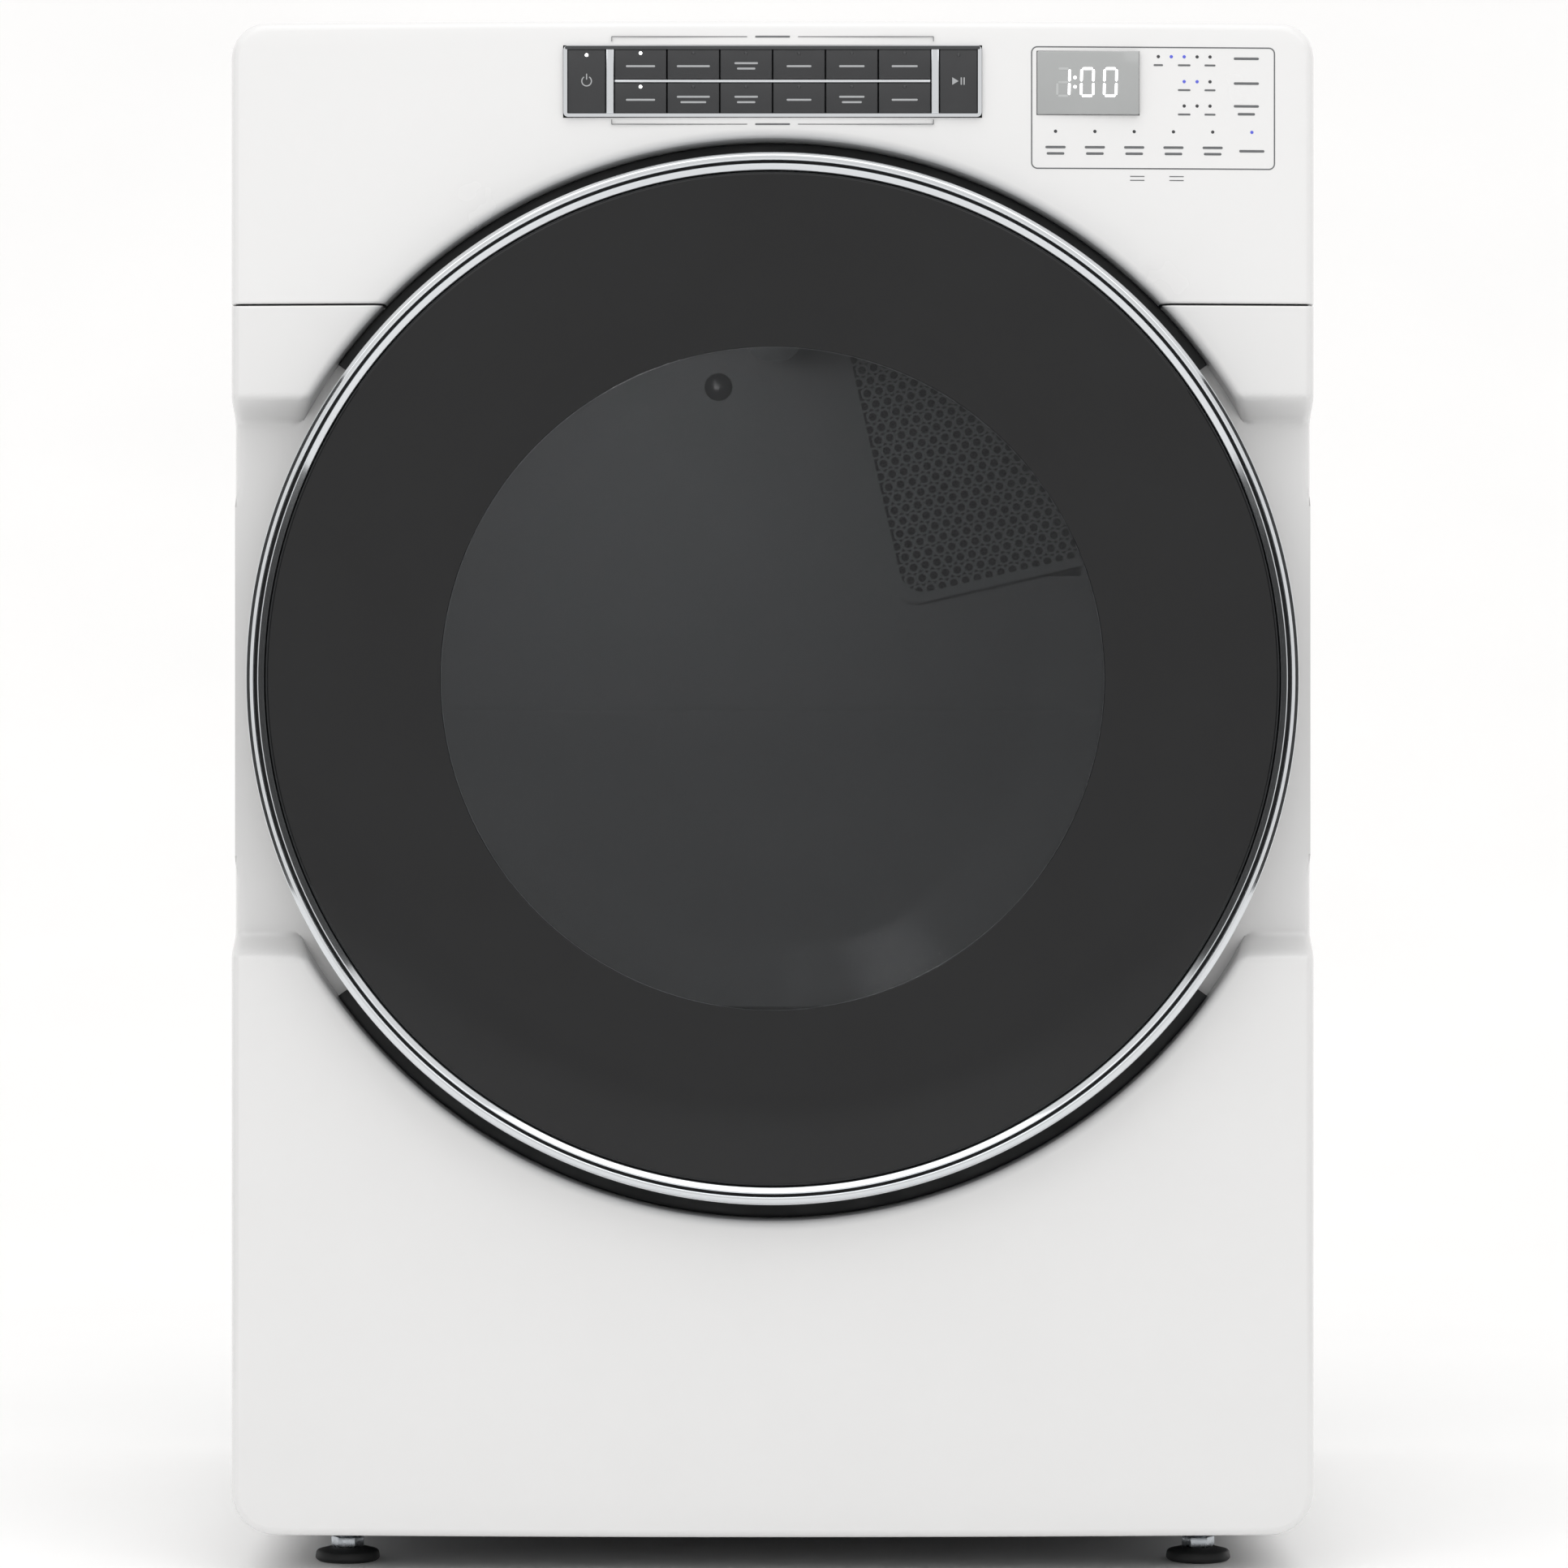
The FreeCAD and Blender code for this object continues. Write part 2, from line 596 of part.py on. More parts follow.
def drum_seals():
    """Felt rings between the drum's ends and the bearing lips."""
    outer, inner = "drum_out - drum_skin - 0.5", "drum_out - drum_skin - 4.8"
    front = tube("seal_front", outer, inner, "Y", 0, "door_z", "drum_front + 1", "drum_front + 10")
    rear = tube("seal_rear", outer, inner, "Y", 0, "door_z", "drum_back - 10", "drum_back - 1")
    return node("drum_seals", group("drum_seals", front, rear))


def rollers():
    drop = "sqrt((drum_out + roller + 0.3) ^ 2 - roller_x ^ 2)"
    shafts = []
    for name, x in {"left": "-roller_x", "right": "roller_x"}.items():
        node(f"drum_roller_{name}",
             tube(f"drum_roller_{name}", "roller", "shaft + 0.1", "Y", x, f"door_z - {drop}",
                  "272", "298"))
        shafts.append(rod(f"roller_shaft_{name}", "shaft", "Y", x, f"door_z - {drop}",
                          "266", "back_wall_y - 0.3"))
    node("roller_shafts", group("roller_shafts", *shafts))


def drive_motor():
    shell = tube("motor_case", "motor", "shaft + 1", "Y", "blower_x", "blower_z", "-172", "-24")
    hollow = rod("motor_hollow", "motor - 12", "Y", "blower_x", "blower_z", "-160", "-36")
    case = cut("motor_shell", shell, hollow)
    cradle = box("motor_cradle", ("blower_x - 50", "blower_x + 50"), ("-150", "-50"),
                 ("foot_height + 3", "blower_z - motor + 12"))
    clear = rod("motor_clear", "motor - 2", "Y", "blower_x", "blower_z", "-160", "-40")
    arm_post = rod("arm_post", "4", "Y", "arm_x", "arm_z", "-30", "19")
    post_foot = box("arm_post_foot", ("arm_x - 8", "arm_x + 8"), ("-34", "-24"),
                    ("arm_z - 8", "arm_z + 24"))
    return node("drive_motor", fuse("drive_motor", case, cut("cradle", cradle, clear), post_foot,
                                    arm_post))


def motor_shaft():
    shaft = rod("motor_spindle", "shaft", "Y", "blower_x", "blower_z", "-249", "22")
    pulley = rod("motor_pulley", "pulley", "Y", "blower_x", "blower_z", "belt_y - 1",
                 "belt_y + belt_wide + 1")
    return node("motor_shaft", fuse("motor_shaft", shaft, pulley))


def blower_wheel():
    """A back plate, a hub and a ring of vanes."""
    back = tube("wheel_back", "wheel", "shaft + 0.2", "Y", "blower_x", "blower_z", "-199", "-197")
    hub = tube("wheel_hub", "14", "shaft + 0.2", "Y", "blower_x", "blower_z", "-240", "-198")
    ring = tube("wheel_ring", "wheel", "wheel - 14", "Y", "blower_x", "blower_z", "-249", "-247")
    vanes = []
    count = 24
    for number in range(count):
        vane = doc.addObject("Part::Box", f"wheel_vane_{number}")
        vane.Length, vane.Width, vane.Height = 16, 51, 1.6
        angle = 360 / count * number
        reach = value("wheel") - 17
        vane.Placement = FreeCAD.Placement(
            FreeCAD.Vector(value("blower_x") + reach * math.cos(math.radians(angle)), -248.5,
                           value("blower_z") - reach * math.sin(math.radians(angle))),
            FreeCAD.Rotation(FreeCAD.Vector(0, 1, 0), angle))
        vanes.append(vane)
    return node("blower_wheel", fuse("blower_wheel", back, hub, ring, *vanes))


def blower_housing():
    scroll = rod("scroll_outer", "scroll", "Y", "blower_x", "blower_z", "-259", "-186")
    box_out = box("outlet_outer", ("-duct - 6", "blower_x"), ("-259", "-186"),
                  ("duct_z - 54", "duct_z + 54"))
    scroll_in = rod("scroll_inner", "scroll - 2.5", "Y", "blower_x", "blower_z", "-256.5", "-188.5")
    box_in = box("outlet_inner", ("-duct - 3.5", "blower_x"), ("-256.5", "-188.5"),
                 ("duct_z - 51.5", "duct_z + 51.5"))
    inlet = rod("scroll_inlet", "60", "Y", "blower_x", "blower_z", "-265", "-250")
    shaft_hole = rod("scroll_shaft", "12", "Y", "blower_x", "blower_z", "-195", "-180")
    outlet = rod("scroll_outlet", "duct + 0.3", "Y", 0, "duct_z", "-195", "-180")
    return node("blower_housing", cut("blower_housing", fuse("housing", scroll, box_out),
                                      fuse("housing_space", scroll_in, box_in), inlet, shaft_hole,
                                      outlet))


def exhaust_duct():
    pipe = tube("duct_pipe", "duct - 0.8", "duct - 1.6", "Y", 0, "duct_z", "-187.5", "rear_y + 1")
    collar = tube("duct_collar", "duct", "duct - 1.6", "Y", 0, "duct_z", "rear_y + 0.4", "collar_y")
    return node("exhaust_duct", fuse("exhaust_duct", pipe, collar))


def lint_filter():
    """A mesh pocket in a frame, with a handle along its top."""
    frame = box("filter_frame", ("-114", "114"), ("filter_front", "filter_back"), ("170", "352"))
    grip = box("filter_grip", ("-60", "60"), ("filter_front - 2", "filter_back + 1.5"), ("345", "358"))
    pocket = box("filter_pocket", ("-108", "108"), ("filter_front + 3", "filter_back - 3"),
                 ("176", "360"))
    way = box("filter_way", ("-104", "104"), ("-290", "-260"), ("182", "325"))
    mesh = box("filter_mesh", ("-109", "109"), ("filter_back - 4", "filter_back - 3.2"),
               ("175", "330"))
    return node("lint_filter", fuse("lint_filter",
                cut("filter_body", fuse("filter_solid", frame, grip), pocket, way), mesh))


def lint_chute():
    """The duct that holds the filter and leads to the blower."""
    def walls(gap, top):
        return [
            (f"-127 + {gap}", top), (f"-127 + {gap}", f"150 + {gap}"), (f"30 + {gap}", f"60 + {gap}"),
            (f"200 - {gap}", f"60 + {gap}"), (f"200 - {gap}", f"230 - {gap}"),
            (f"127 - {gap}", "300"), (f"127 - {gap}", top),
        ]
    outer = plate("chute_outer", "XZ_Plane", walls("0", "378"), "-300", "bulkhead_y - 0.5")
    inner = plate("chute_inner", "XZ_Plane", walls("3", "400"), "-297", "bulkhead_y - 3.5")
    throat = rod("chute_throat", "throat + 3.4", "Y", 0, "door_z", "-330", "-200")
    air_way = rod("chute_air", "60", "Y", "blower_x", "blower_z", "-270", "-250")
    return node("lint_chute", cut("lint_chute", outer, inner, throat, air_way))


def idler():
    """Arm and pulley that press the belt onto the motor's pulley."""
    reach_x, reach_z = value("idler_x - arm_x"), value("idler_z - arm_z")
    length = math.hypot(reach_x, reach_z)
    bar = doc.addObject("Part::Box", "idler_bar")
    bar.Length, bar.Width, bar.Height = length, 3, 12
    along = math.degrees(math.atan2(reach_z, reach_x))
    turn = FreeCAD.Rotation(FreeCAD.Vector(0, 1, 0), -along)
    start = FreeCAD.Vector(value("arm_x"), 15.6, value("arm_z"))
    bar.Placement = FreeCAD.Placement(start - turn.multVec(FreeCAD.Vector(0, 0, 6)), turn)
    eye = rod("idler_eye", "9", "Y", "arm_x", "arm_z", "15.6", "18.6")
    stub = rod("idler_stub", "4", "Y", "idler_x", "idler_z", "1", "18.6")
    hole = rod("idler_hole", "4.05", "Y", "arm_x", "arm_z", "10", "30")
    node("idler_arm", cut("idler_arm", fuse("idler_shape", bar, eye, stub), hole))
    node("idler_pulley", tube("idler_pulley", "idler", "4.05", "Y", "idler_x", "idler_z",
                              "belt_y", "belt_y + belt_wide"))


def tangent(first, second, crossed):
    """Ends of the belt's straight run between two circles (x, z, radius), on the side where a
    belt that turns anticlockwise leaves the first one; crossed when they lie on its two faces."""
    (x1, z1, r1), (x2, z2, r2) = first, second
    turn1 = -1 if crossed == "second_inside" else 1
    turn2 = -1 if crossed == "first_inside" else 1
    distance = math.hypot(x2 - x1, z2 - z1)
    heading = math.atan2(z2 - z1, x2 - x1)
    lean = math.acos((turn1 * r1 - turn2 * r2) / distance)
    angle = heading - lean
    normal = (math.cos(angle), math.sin(angle))
    return ((x1 + turn1 * r1 * normal[0], z1 + turn1 * r1 * normal[1]),
            (x2 + turn2 * r2 * normal[0], z2 + turn2 * r2 * normal[1]))


def drum_belt():
    """One closed loop: round the drum, under the motor's pulley and over the idler."""
    clear = 0.3
    half = value("belt / 2")
    drum_circle = (0, value("door_z"), value("drum_out") + half + clear)
    motor_circle = (value("blower_x"), value("blower_z"), value("pulley") + half + clear)
    idler_circle = (value("idler_x"), value("idler_z"), value("idler") + half + clear)
    runs = [
        tangent(drum_circle, idler_circle, "first_inside"),
        tangent(idler_circle, motor_circle, "second_inside"),
        tangent(motor_circle, drum_circle, None),
    ]

    def point(pair):
        return FreeCAD.Vector(pair[0], 0, pair[1])

    def bend(circle, start, end, anticlockwise):
        """The arc of the belt's middle line round one wheel."""
        x, z, radius = circle
        first = math.atan2(start[1] - z, start[0] - x)
        last = math.atan2(end[1] - z, end[0] - x)
        sweep = (last - first) % (2 * math.pi)
        if not anticlockwise:
            sweep -= 2 * math.pi
        middle = first + sweep / 2
        halfway = (x + radius * math.cos(middle), z + radius * math.sin(middle))
        return Part.Arc(point(start), point(halfway), point(end)).toShape()

    edges = [
        Part.makeLine(point(runs[0][0]), point(runs[0][1])),
        bend(idler_circle, runs[0][1], runs[1][0], False),
        Part.makeLine(point(runs[1][0]), point(runs[1][1])),
        bend(motor_circle, runs[1][1], runs[2][0], True),
        Part.makeLine(point(runs[2][0]), point(runs[2][1])),
        bend(drum_circle, runs[2][1], runs[0][0], True),
    ]
    middle = Part.Wire(edges)
    outside = middle.makeOffset2D(half)
    inside = middle.makeOffset2D(-half)
    loop = Part.Face(outside).cut(Part.Face(inside))
    belt = loop.extrude(FreeCAD.Vector(0, value("belt_wide"), 0))
    belt.translate(FreeCAD.Vector(0, value("belt_y"), 0))
    return node("drum_belt", solid("drum_belt", belt.Solids[0]))


def terminal_cover():
    lid = box("cover_outer", ("-275", "-200"), ("rear_y + 0.2", "rear_y + 14"), ("925", "957"))
    inside = box("cover_inner", ("-273.5", "-201.5"), ("rear_y", "rear_y + 12.5"), ("926.5", "955.5"))
    return node("terminal_cover", cut("terminal_cover", lid, inside))


def build():
    front_panel()
    console_fascia()
    console_bezel()
    keys()
    display_window()
    control_board()
    door_ring()
    door_glass()
    door_liner()
    door_bowl()
    door_strike()
    door_catch()
    hinge()
    door_seal()
    side_panel("side_panel_left", -1)
    side_panel("side_panel_right", 1)
    top_panel()
    back_panel()
    base_pan()
    levelling_feet()
    front_bulkhead()
    rear_bulkhead()
    inlet_grille()
    heater_box()
    drum()
    drum_baffles()
    drum_seals()
    rollers()
    drive_motor()
    motor_shaft()
    blower_wheel()
    blower_housing()
    exhaust_duct()
    lint_filter()
    lint_chute()
    idler()
    drum_belt()
    terminal_cover()
    doc.recompute()


def check():
    """Stop if any object failed, or any piece is empty or broken."""
    for thing in doc.Objects:
        if "Invalid" in thing.State or "Error" in thing.State:
            raise RuntimeError(f"{thing.Name} failed: {thing.State}")
    for name, thing in nodes.items():
        if thing.Shape.isNull() or not thing.Shape.isValid() or not thing.Shape.Solids:
            raise RuntimeError(f"{name} has no sound solid")


def export():
    os.makedirs("parts", exist_ok=True)
    for name, thing in nodes.items():
        thing.Shape.exportStep(f"parts/{name}.step")
        print(f"{name}: {len(thing.Shape.Solids)} solid(s), {thing.Shape.Volume / 1000:.1f} cm3")


build()
check()
export()
print(len(nodes), "pieces")
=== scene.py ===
"""Looks of a front-loading clothes dryer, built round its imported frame.

Lengths are metres, +Z is up, the door faces -Y. Millimetres are written through mm().
"""

import math

import bmesh
import bpy
from mathutils import Matrix, Vector


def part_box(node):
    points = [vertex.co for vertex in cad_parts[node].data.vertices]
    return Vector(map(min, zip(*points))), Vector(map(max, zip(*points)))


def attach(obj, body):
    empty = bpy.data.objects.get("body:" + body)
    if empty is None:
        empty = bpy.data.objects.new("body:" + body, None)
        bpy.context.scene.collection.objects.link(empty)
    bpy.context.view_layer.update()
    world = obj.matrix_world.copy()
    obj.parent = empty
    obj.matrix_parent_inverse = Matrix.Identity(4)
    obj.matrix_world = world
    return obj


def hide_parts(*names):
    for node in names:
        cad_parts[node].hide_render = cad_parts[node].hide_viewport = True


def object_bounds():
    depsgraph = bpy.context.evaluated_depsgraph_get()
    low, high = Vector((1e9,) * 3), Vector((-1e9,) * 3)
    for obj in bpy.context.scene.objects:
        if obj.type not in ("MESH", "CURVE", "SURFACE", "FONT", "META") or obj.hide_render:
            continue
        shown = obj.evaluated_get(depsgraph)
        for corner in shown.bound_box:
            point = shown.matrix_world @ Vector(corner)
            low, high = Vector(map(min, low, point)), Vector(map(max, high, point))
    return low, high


bl_info = {
    "name": "Clothes dryer",
    "version": (1, 0, 0),
    "blender": (4, 5, 0),
    "location": "View3D > Sidebar > Dryer",
    "description": "Builds the visible pieces of a front-loading clothes dryer",
    "category": "Add Mesh",
}

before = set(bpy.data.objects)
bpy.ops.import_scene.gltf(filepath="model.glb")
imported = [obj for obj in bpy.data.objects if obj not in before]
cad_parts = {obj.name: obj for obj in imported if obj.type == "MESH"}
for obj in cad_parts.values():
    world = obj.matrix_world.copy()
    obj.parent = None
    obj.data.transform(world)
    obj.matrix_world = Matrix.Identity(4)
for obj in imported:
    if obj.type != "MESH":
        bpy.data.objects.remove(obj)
CAD_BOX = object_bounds()
LOW, HIGH = CAD_BOX


def mm(length):
    """Millimetres as metres."""
    return length / 1000


def middle(node):
    """The centre of a frame part's box."""
    low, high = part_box(node)
    return (low + high) / 2


PANEL_LOW, PANEL_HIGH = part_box("front_panel")
FASCIA_LOW, FASCIA_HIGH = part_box("console_fascia")
RING_LOW, RING_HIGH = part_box("door_ring")
GLASS_LOW, GLASS_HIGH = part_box("door_glass")
STRIP_LOW, STRIP_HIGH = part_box("console_bezel")
PANE_LOW, PANE_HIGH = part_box("display_window")
DOOR = middle("door_ring")
DOOR_AXIS = Vector((DOOR.x, 0, DOOR.z))
ORIGIN = Vector((0, 0, 0))
HALF_WIDTH = HIGH.x
RING_RADIUS = (RING_HIGH.z - RING_LOW.z) / 2
GLASS_RADIUS = (GLASS_HIGH.z - GLASS_LOW.z) / 2
WINDOW_RADIUS = mm(208)
DISH_RADIUS = mm(342)
DISH_DEPTH = mm(60)
DISH_FLOOR_Y = mm(-326)
CONSOLE_Y = FASCIA_LOW.y
BOW = mm(12)
FLANGE_Y = PANEL_HIGH.y
PRINT_DEPTH = mm(0.12)
WELD = mm(0.01)


def linear(code):
    """A colour written as an sRGB hex value, turned to linear RGBA."""
    parts = [int(code[i:i + 2], 16) / 255 for i in (1, 3, 5)]
    return tuple(p / 12.92 if p <= 0.04045 else ((p + 0.055) / 1.055) ** 2.4
                 for p in parts) + (1.0,)


# Properties that a user would change.


def length(name, description, default):
    return bpy.props.FloatProperty(name=name, description=description, default=default,
                                   unit="LENGTH", precision=4)


def colour(name, description, code):
    return bpy.props.FloatVectorProperty(name=name, description=description,
                                         default=linear(code), size=4, subtype="COLOR",
                                         min=0, max=1)


class DryerSizes(bpy.types.PropertyGroup):
    edge_round: length("Edge rounding", "Radius round the front's outer edge", mm(5.5))
    top_round: length("Top corner", "Radius of the front's upper corners", mm(22))
    low_round: length("Lower corner", "Radius of the front's lower corners", mm(28))
    dish_lip: length("Dish lip", "Radius of the pressed edge round the door", mm(6))
    scoop_top: length("Scoop top", "Height of the scoop's upper ramp over the door's centre",
                      mm(163))
    scoop_low: length("Scoop bottom", "Depth of the scoop's lower ramp under the door's centre",
                      mm(160))
    ramp: length("Ramp", "Height of each ramp of the scoops", mm(17))
    lamp: length("Lamp", "Radius of an indicator lamp", mm(1.1))
    perforation: length("Perforation", "Spacing of the holes in the inlet grille", mm(9))


class DryerFinish(bpy.types.PropertyGroup):
    enamel: colour("Enamel", "Baked enamel of the cabinet", "#DDDDDD")
    moulding: colour("Console", "Gloss moulding of the console", "#E1E1E1")
    plating: colour("Plating", "Bright plating of the trim", "#D3D6D9")
    keys: colour("Keys", "Dark moulded key caps", "#2B2C2E")
    key_print: colour("Key print", "Pale printing on the keys", "#A4A6A8")
    print: colour("Print", "Grey printing on the console", "#66686A")
    display: colour("Display", "Grey display pane", "#A2A4A4")
    smoke: colour("Smoked glass", "Tint of the door's window", "#161718")
    lamp: colour("Lamp", "Light of a lamp that is on", "#FFFFFF")


# Finishes.


def add(tree, kind, settings=None, links=None):
    """Add one node; settings are properties or input values, links join sockets to inputs."""
    item = tree.nodes.new(kind)
    for name, setting in (settings or {}).items():
        if isinstance(name, int) or name in item.inputs:
            item.inputs[name].default_value = setting
        else:
            setattr(item, name, setting)
    for name, socket in (links or {}).items():
        tree.links.new(socket, item.inputs[name])
    return item


def grain(tree, spacing, stretch=(1, 1, 1), detail=3.0, cells=None):
    """A pattern in the piece's own space whose features are about spacing millimetres apart.

    It is a noise, or cells when the output of theirs that is wanted is named.
    """
    place = add(tree, "ShaderNodeTexCoord")
    scaled = add(tree, "ShaderNodeMapping", {"Scale": tuple(s / mm(spacing) for s in stretch)},
                 {"Vector": place.outputs["Object"]})
    kind, settings = "ShaderNodeTexNoise", {"Scale": 1.0, "Detail": detail}
    if cells:
        kind, settings = "ShaderNodeTexVoronoi", {"Scale": 1.0}
    return add(tree, kind, settings, {"Vector": scaled.outputs[0]}).outputs[cells or 0]


def shade(base, factor):
    """The same colour, lighter or darker."""
    return tuple(min(1.0, part * factor) for part in base[:3]) + (1.0,)


def rough(tree, pattern, base, low, high):
    """Roughness between two values."""
    spread = add(tree, "ShaderNodeMapRange",
                 {"From Min": 0.3, "From Max": 0.7, "To Min": low, "To Max": high},
                 {"Value": pattern})
    return "Roughness", spread.outputs["Result"]


def tint(tree, pattern, base, first, second):
    """Colour between two shades, each a factor of the base colour or a hex value."""
    first, second = (linear(s) if isinstance(s, str) else shade(base, s) for s in (first, second))
    blend = add(tree, "ShaderNodeMix", {"data_type": "RGBA", 6: first, 7: second}, {0: pattern})
    return "Base Color", blend.outputs[2]


def relief(tree, pattern, base, height, strength):
    """Bumps of a height in millimetres."""
    bump = add(tree, "ShaderNodeBump", {"Distance": mm(height), "Strength": strength},
               {"Height": pattern})
    return "Normal", bump.outputs["Normal"]


# Each finish: its base colour as a hex value or as one of the colours above, its roughness, the
# shader's other sockets, and its layers. A layer is what it changes, the spacing of its pattern
# in millimetres, its two values, and any other settings of the grain.

FINISHES = {
    # Baked polyester enamel on sheet steel: hard gloss over a faint orange peel.
    "baked_enamel": ("enamel", 0.2, {"Coat Weight": 0.35, "Coat Roughness": 0.06, "IOR": 1.5}, [
        (relief, 5, 0.02, 0.25, {"detail": 2.0}),
        (rough, 90, 0.18, 0.25), (tint, 90, 1, 0.975)]),
    # Injection-moulded gloss ABS: whiter and a little softer than the enamel.
    "gloss_abs": ("moulding", 0.24, {"Coat Weight": 0.2, "Coat Roughness": 0.1, "IOR": 1.54}, [
        (rough, 70, 0.21, 0.28), (tint, 70, 1, 0.98),
        (relief, 30, 0.03, 0.15, {"detail": 1.0})]),
    # Chrome plating on ABS: mirror-bright with slow waves of the moulding under it.
    "plated_abs": ("plating", 0.08, {"Metallic": 1.0}, [
        (rough, 40, 0.06, 0.14, {"detail": 1.0}), (relief, 40, 0.05, 0.2, {"detail": 1.0})]),
    # Dark spark-eroded ABS: an even, fine satin.
    "key_abs": ("keys", 0.38, {"IOR": 1.5}, [
        (relief, 0.6, 0.015, 0.5, {"detail": 2.0}), (rough, 14, 0.34, 0.44)]),
    # Grey pad printing: flat ink, a little uneven.
    "screen_print": ("print", 0.55, {}, [(tint, 2.5, 1, 0.86)]),
    # Pale grey printing on the keys.
    "key_print": ("key_print", 0.5, {}, [(tint, 2, 1, 0.9)]),
    # Tinted acrylic over a grey diffuser: smooth, with depth in the gloss.
    "display_acrylic": ("display", 0.12, {"Coat Weight": 0.6, "IOR": 1.49}, [
        (tint, 25, 1, 0.94), (rough, 25, 0.1, 0.16)]),
    # Light pipe with its white lamp on.
    "lamp_lit": ("lamp", 0.3, {"Emission Strength": 2.2}, [(rough, 1, 0.25, 0.4)]),
    # Light pipe with a blue lamp on behind it.
    "lamp_blue": ("#4A52B8", 0.3, {"Emission Strength": 0.4}, [(rough, 1, 0.25, 0.4)]),
    # Segments of a figure that are off: a little paler than the pane.
    "figure_unlit": ("display", 0.3, {}, [(tint, 2, 1.25, 1.2)]),
    # Light pipe with its lamp off: smoky clear plastic.
    "lamp_dark": ("#3A3B3D", 0.25, {}, [(tint, 1.5, 1, 0.8)]),
    # Smoked tempered glass: clear enough to show the drum, dark from outside.
    "tempered_glass": ("smoke", 0.02, {"IOR": 1.5, "Alpha": 0.5, "Specular IOR Level": 0.28}, [
        (relief, 120, 0.05, 0.08, {"detail": 0.0})]),
    # Glass with black enamel fired on its back: a deep, even gloss.
    "ceramic_frit": ("#151516", 0.03, {"IOR": 1.5, "Specular IOR Level": 0.3}, [
        (tint, 60, 1, "#191A1B"), (relief, 120, 0.05, 0.08, {"detail": 0.0})]),
    # Clear moulded polycarbonate, with slow waves from its mould.
    "clear_polycarbonate": (
        "#C9CDCF", 0.05, {"IOR": 1.58, "Alpha": 0.08, "Specular IOR Level": 0.2}, [
            (relief, 45, 0.05, 0.1, {"detail": 0.0})]),
    # Talc-filled grey polypropylene: dull, with a leathery moulded texture.
    "grey_polypropylene": ("#3A3C3E", 0.5, {"IOR": 1.49}, [
        (relief, 1.6, 0.08, 0.5, {"detail": 4.0}), (tint, 60, 1, 0.85)]),
    # Hot-dip galvanised sheet: pale crystals of zinc about 12 mm across.
    "galvanised_steel": ("#B4B8BB", 0.4, {"Metallic": 0.85}, [
        (tint, 12, 1, "#989CA0", {"cells": "Color"}), (rough, 12, 0.34, 0.5, {"cells": "Color"})]),
    # Grey powder coat on the drum's rear wall: dull, with a fine orange peel.
    "powder_coat": ("#8E9092", 0.6, {}, [
        (relief, 1.4, 0.03, 0.4, {"detail": 2.0}), (tint, 50, 1, 0.92)]),
    # Stainless sheet brushed round the drum: lines across its depth, drawn 1.2 mm apart so that
    # they show; the real ones are finer.
    "brushed_stainless": ("#B9BBBC", 0.3, {"Metallic": 1.0}, [
        (rough, 60, 0.22, 0.42, {"stretch": (1, 50, 1), "detail": 4.0}),
        (relief, 60, 0.02, 0.3, {"stretch": (1, 50, 1), "detail": 4.0})]),
    # Zinc-plated turned or pressed steel: bright, slightly blue.
    "turned_steel": ("#B7BCC1", 0.28, {"Metallic": 1.0}, [(rough, 4, 0.2, 0.38)]),
    # Moulded housings of dark polypropylene: matt, grey-black.
    "dark_polypropylene": ("#2F3133", 0.55, {}, [(relief, 2, 0.06, 0.4), (tint, 80, 1, 1.25)]),
    # Lifters of pale grey polypropylene, polished a little by laundry.
    "pale_polypropylene": ("#C9CCCE", 0.34, {}, [
        (rough, 35, 0.28, 0.45, {"detail": 5.0}), (tint, 35, 1, 0.9, {"detail": 5.0})]),
    # Pressed wool felt: fibrous and matt.
    "wool_felt": ("#A79F92", 0.95, {"Sheen Weight": 0.4}, [
        (relief, 1.2, 0.5, 0.8, {"detail": 6.0}), (tint, 1.2, 1, 0.7, {"detail": 6.0})]),
    # Moulded EPDM rubber: soft black with a dusty bloom.
    "epdm_rubber": ("#1E1F20", 0.6, {}, [
        (tint, 20, 1, "#2C2D2E", {"detail": 5.0}), (rough, 20, 0.5, 0.72, {"detail": 5.0})]),
    # Stoved paint on the motor's shell; on the base pan the same dark grey is painted shade under
    # the cabinet.
    "motor_paint": ("#5A5D60", 0.42, {"Metallic": 0.2}, [
        (relief, 3, 0.05, 0.3, {"detail": 2.0})]),
    # Glass-fibre circuit board under green solder mask.
    "solder_mask": ("#1E5B33", 0.3, {"Coat Weight": 0.4}, [(tint, 4, 1, "#2A6E40")]),
    # Thin drawn aluminium tube: drawing lines run along it.
    "drawn_aluminium": ("#C6C9CB", 0.3, {"Metallic": 1.0}, [
        (rough, 40, 0.24, 0.42, {"stretch": (30, 1, 30)})]),
    # Woven polyester lint mesh: a fine grey screen.
    "filter_mesh": ("#85888B", 0.6, {}, [
        (tint, 1.5, 0.6, 1, {"cells": "Distance"}),
        (relief, 1.5, 0.2, 0.5, {"cells": "Distance"})]),
    # Unlit depth behind a narrow gap.
    "shadow_gap": ("#0B0B0C", 0.9, {}, [(tint, 10, 1, "#121213")]),
    # Paper of the backdrop.
    "seamless_paper": ("#FFFFFF", 0.9, {}, [(tint, 400, 1, "#FAFAFA")]),
    # Matt board beside the dryer.
    "grey_board": ("#3C3C3C", 0.9, {}, [(tint, 200, 1, "#404040")]),
}

MADE = {}


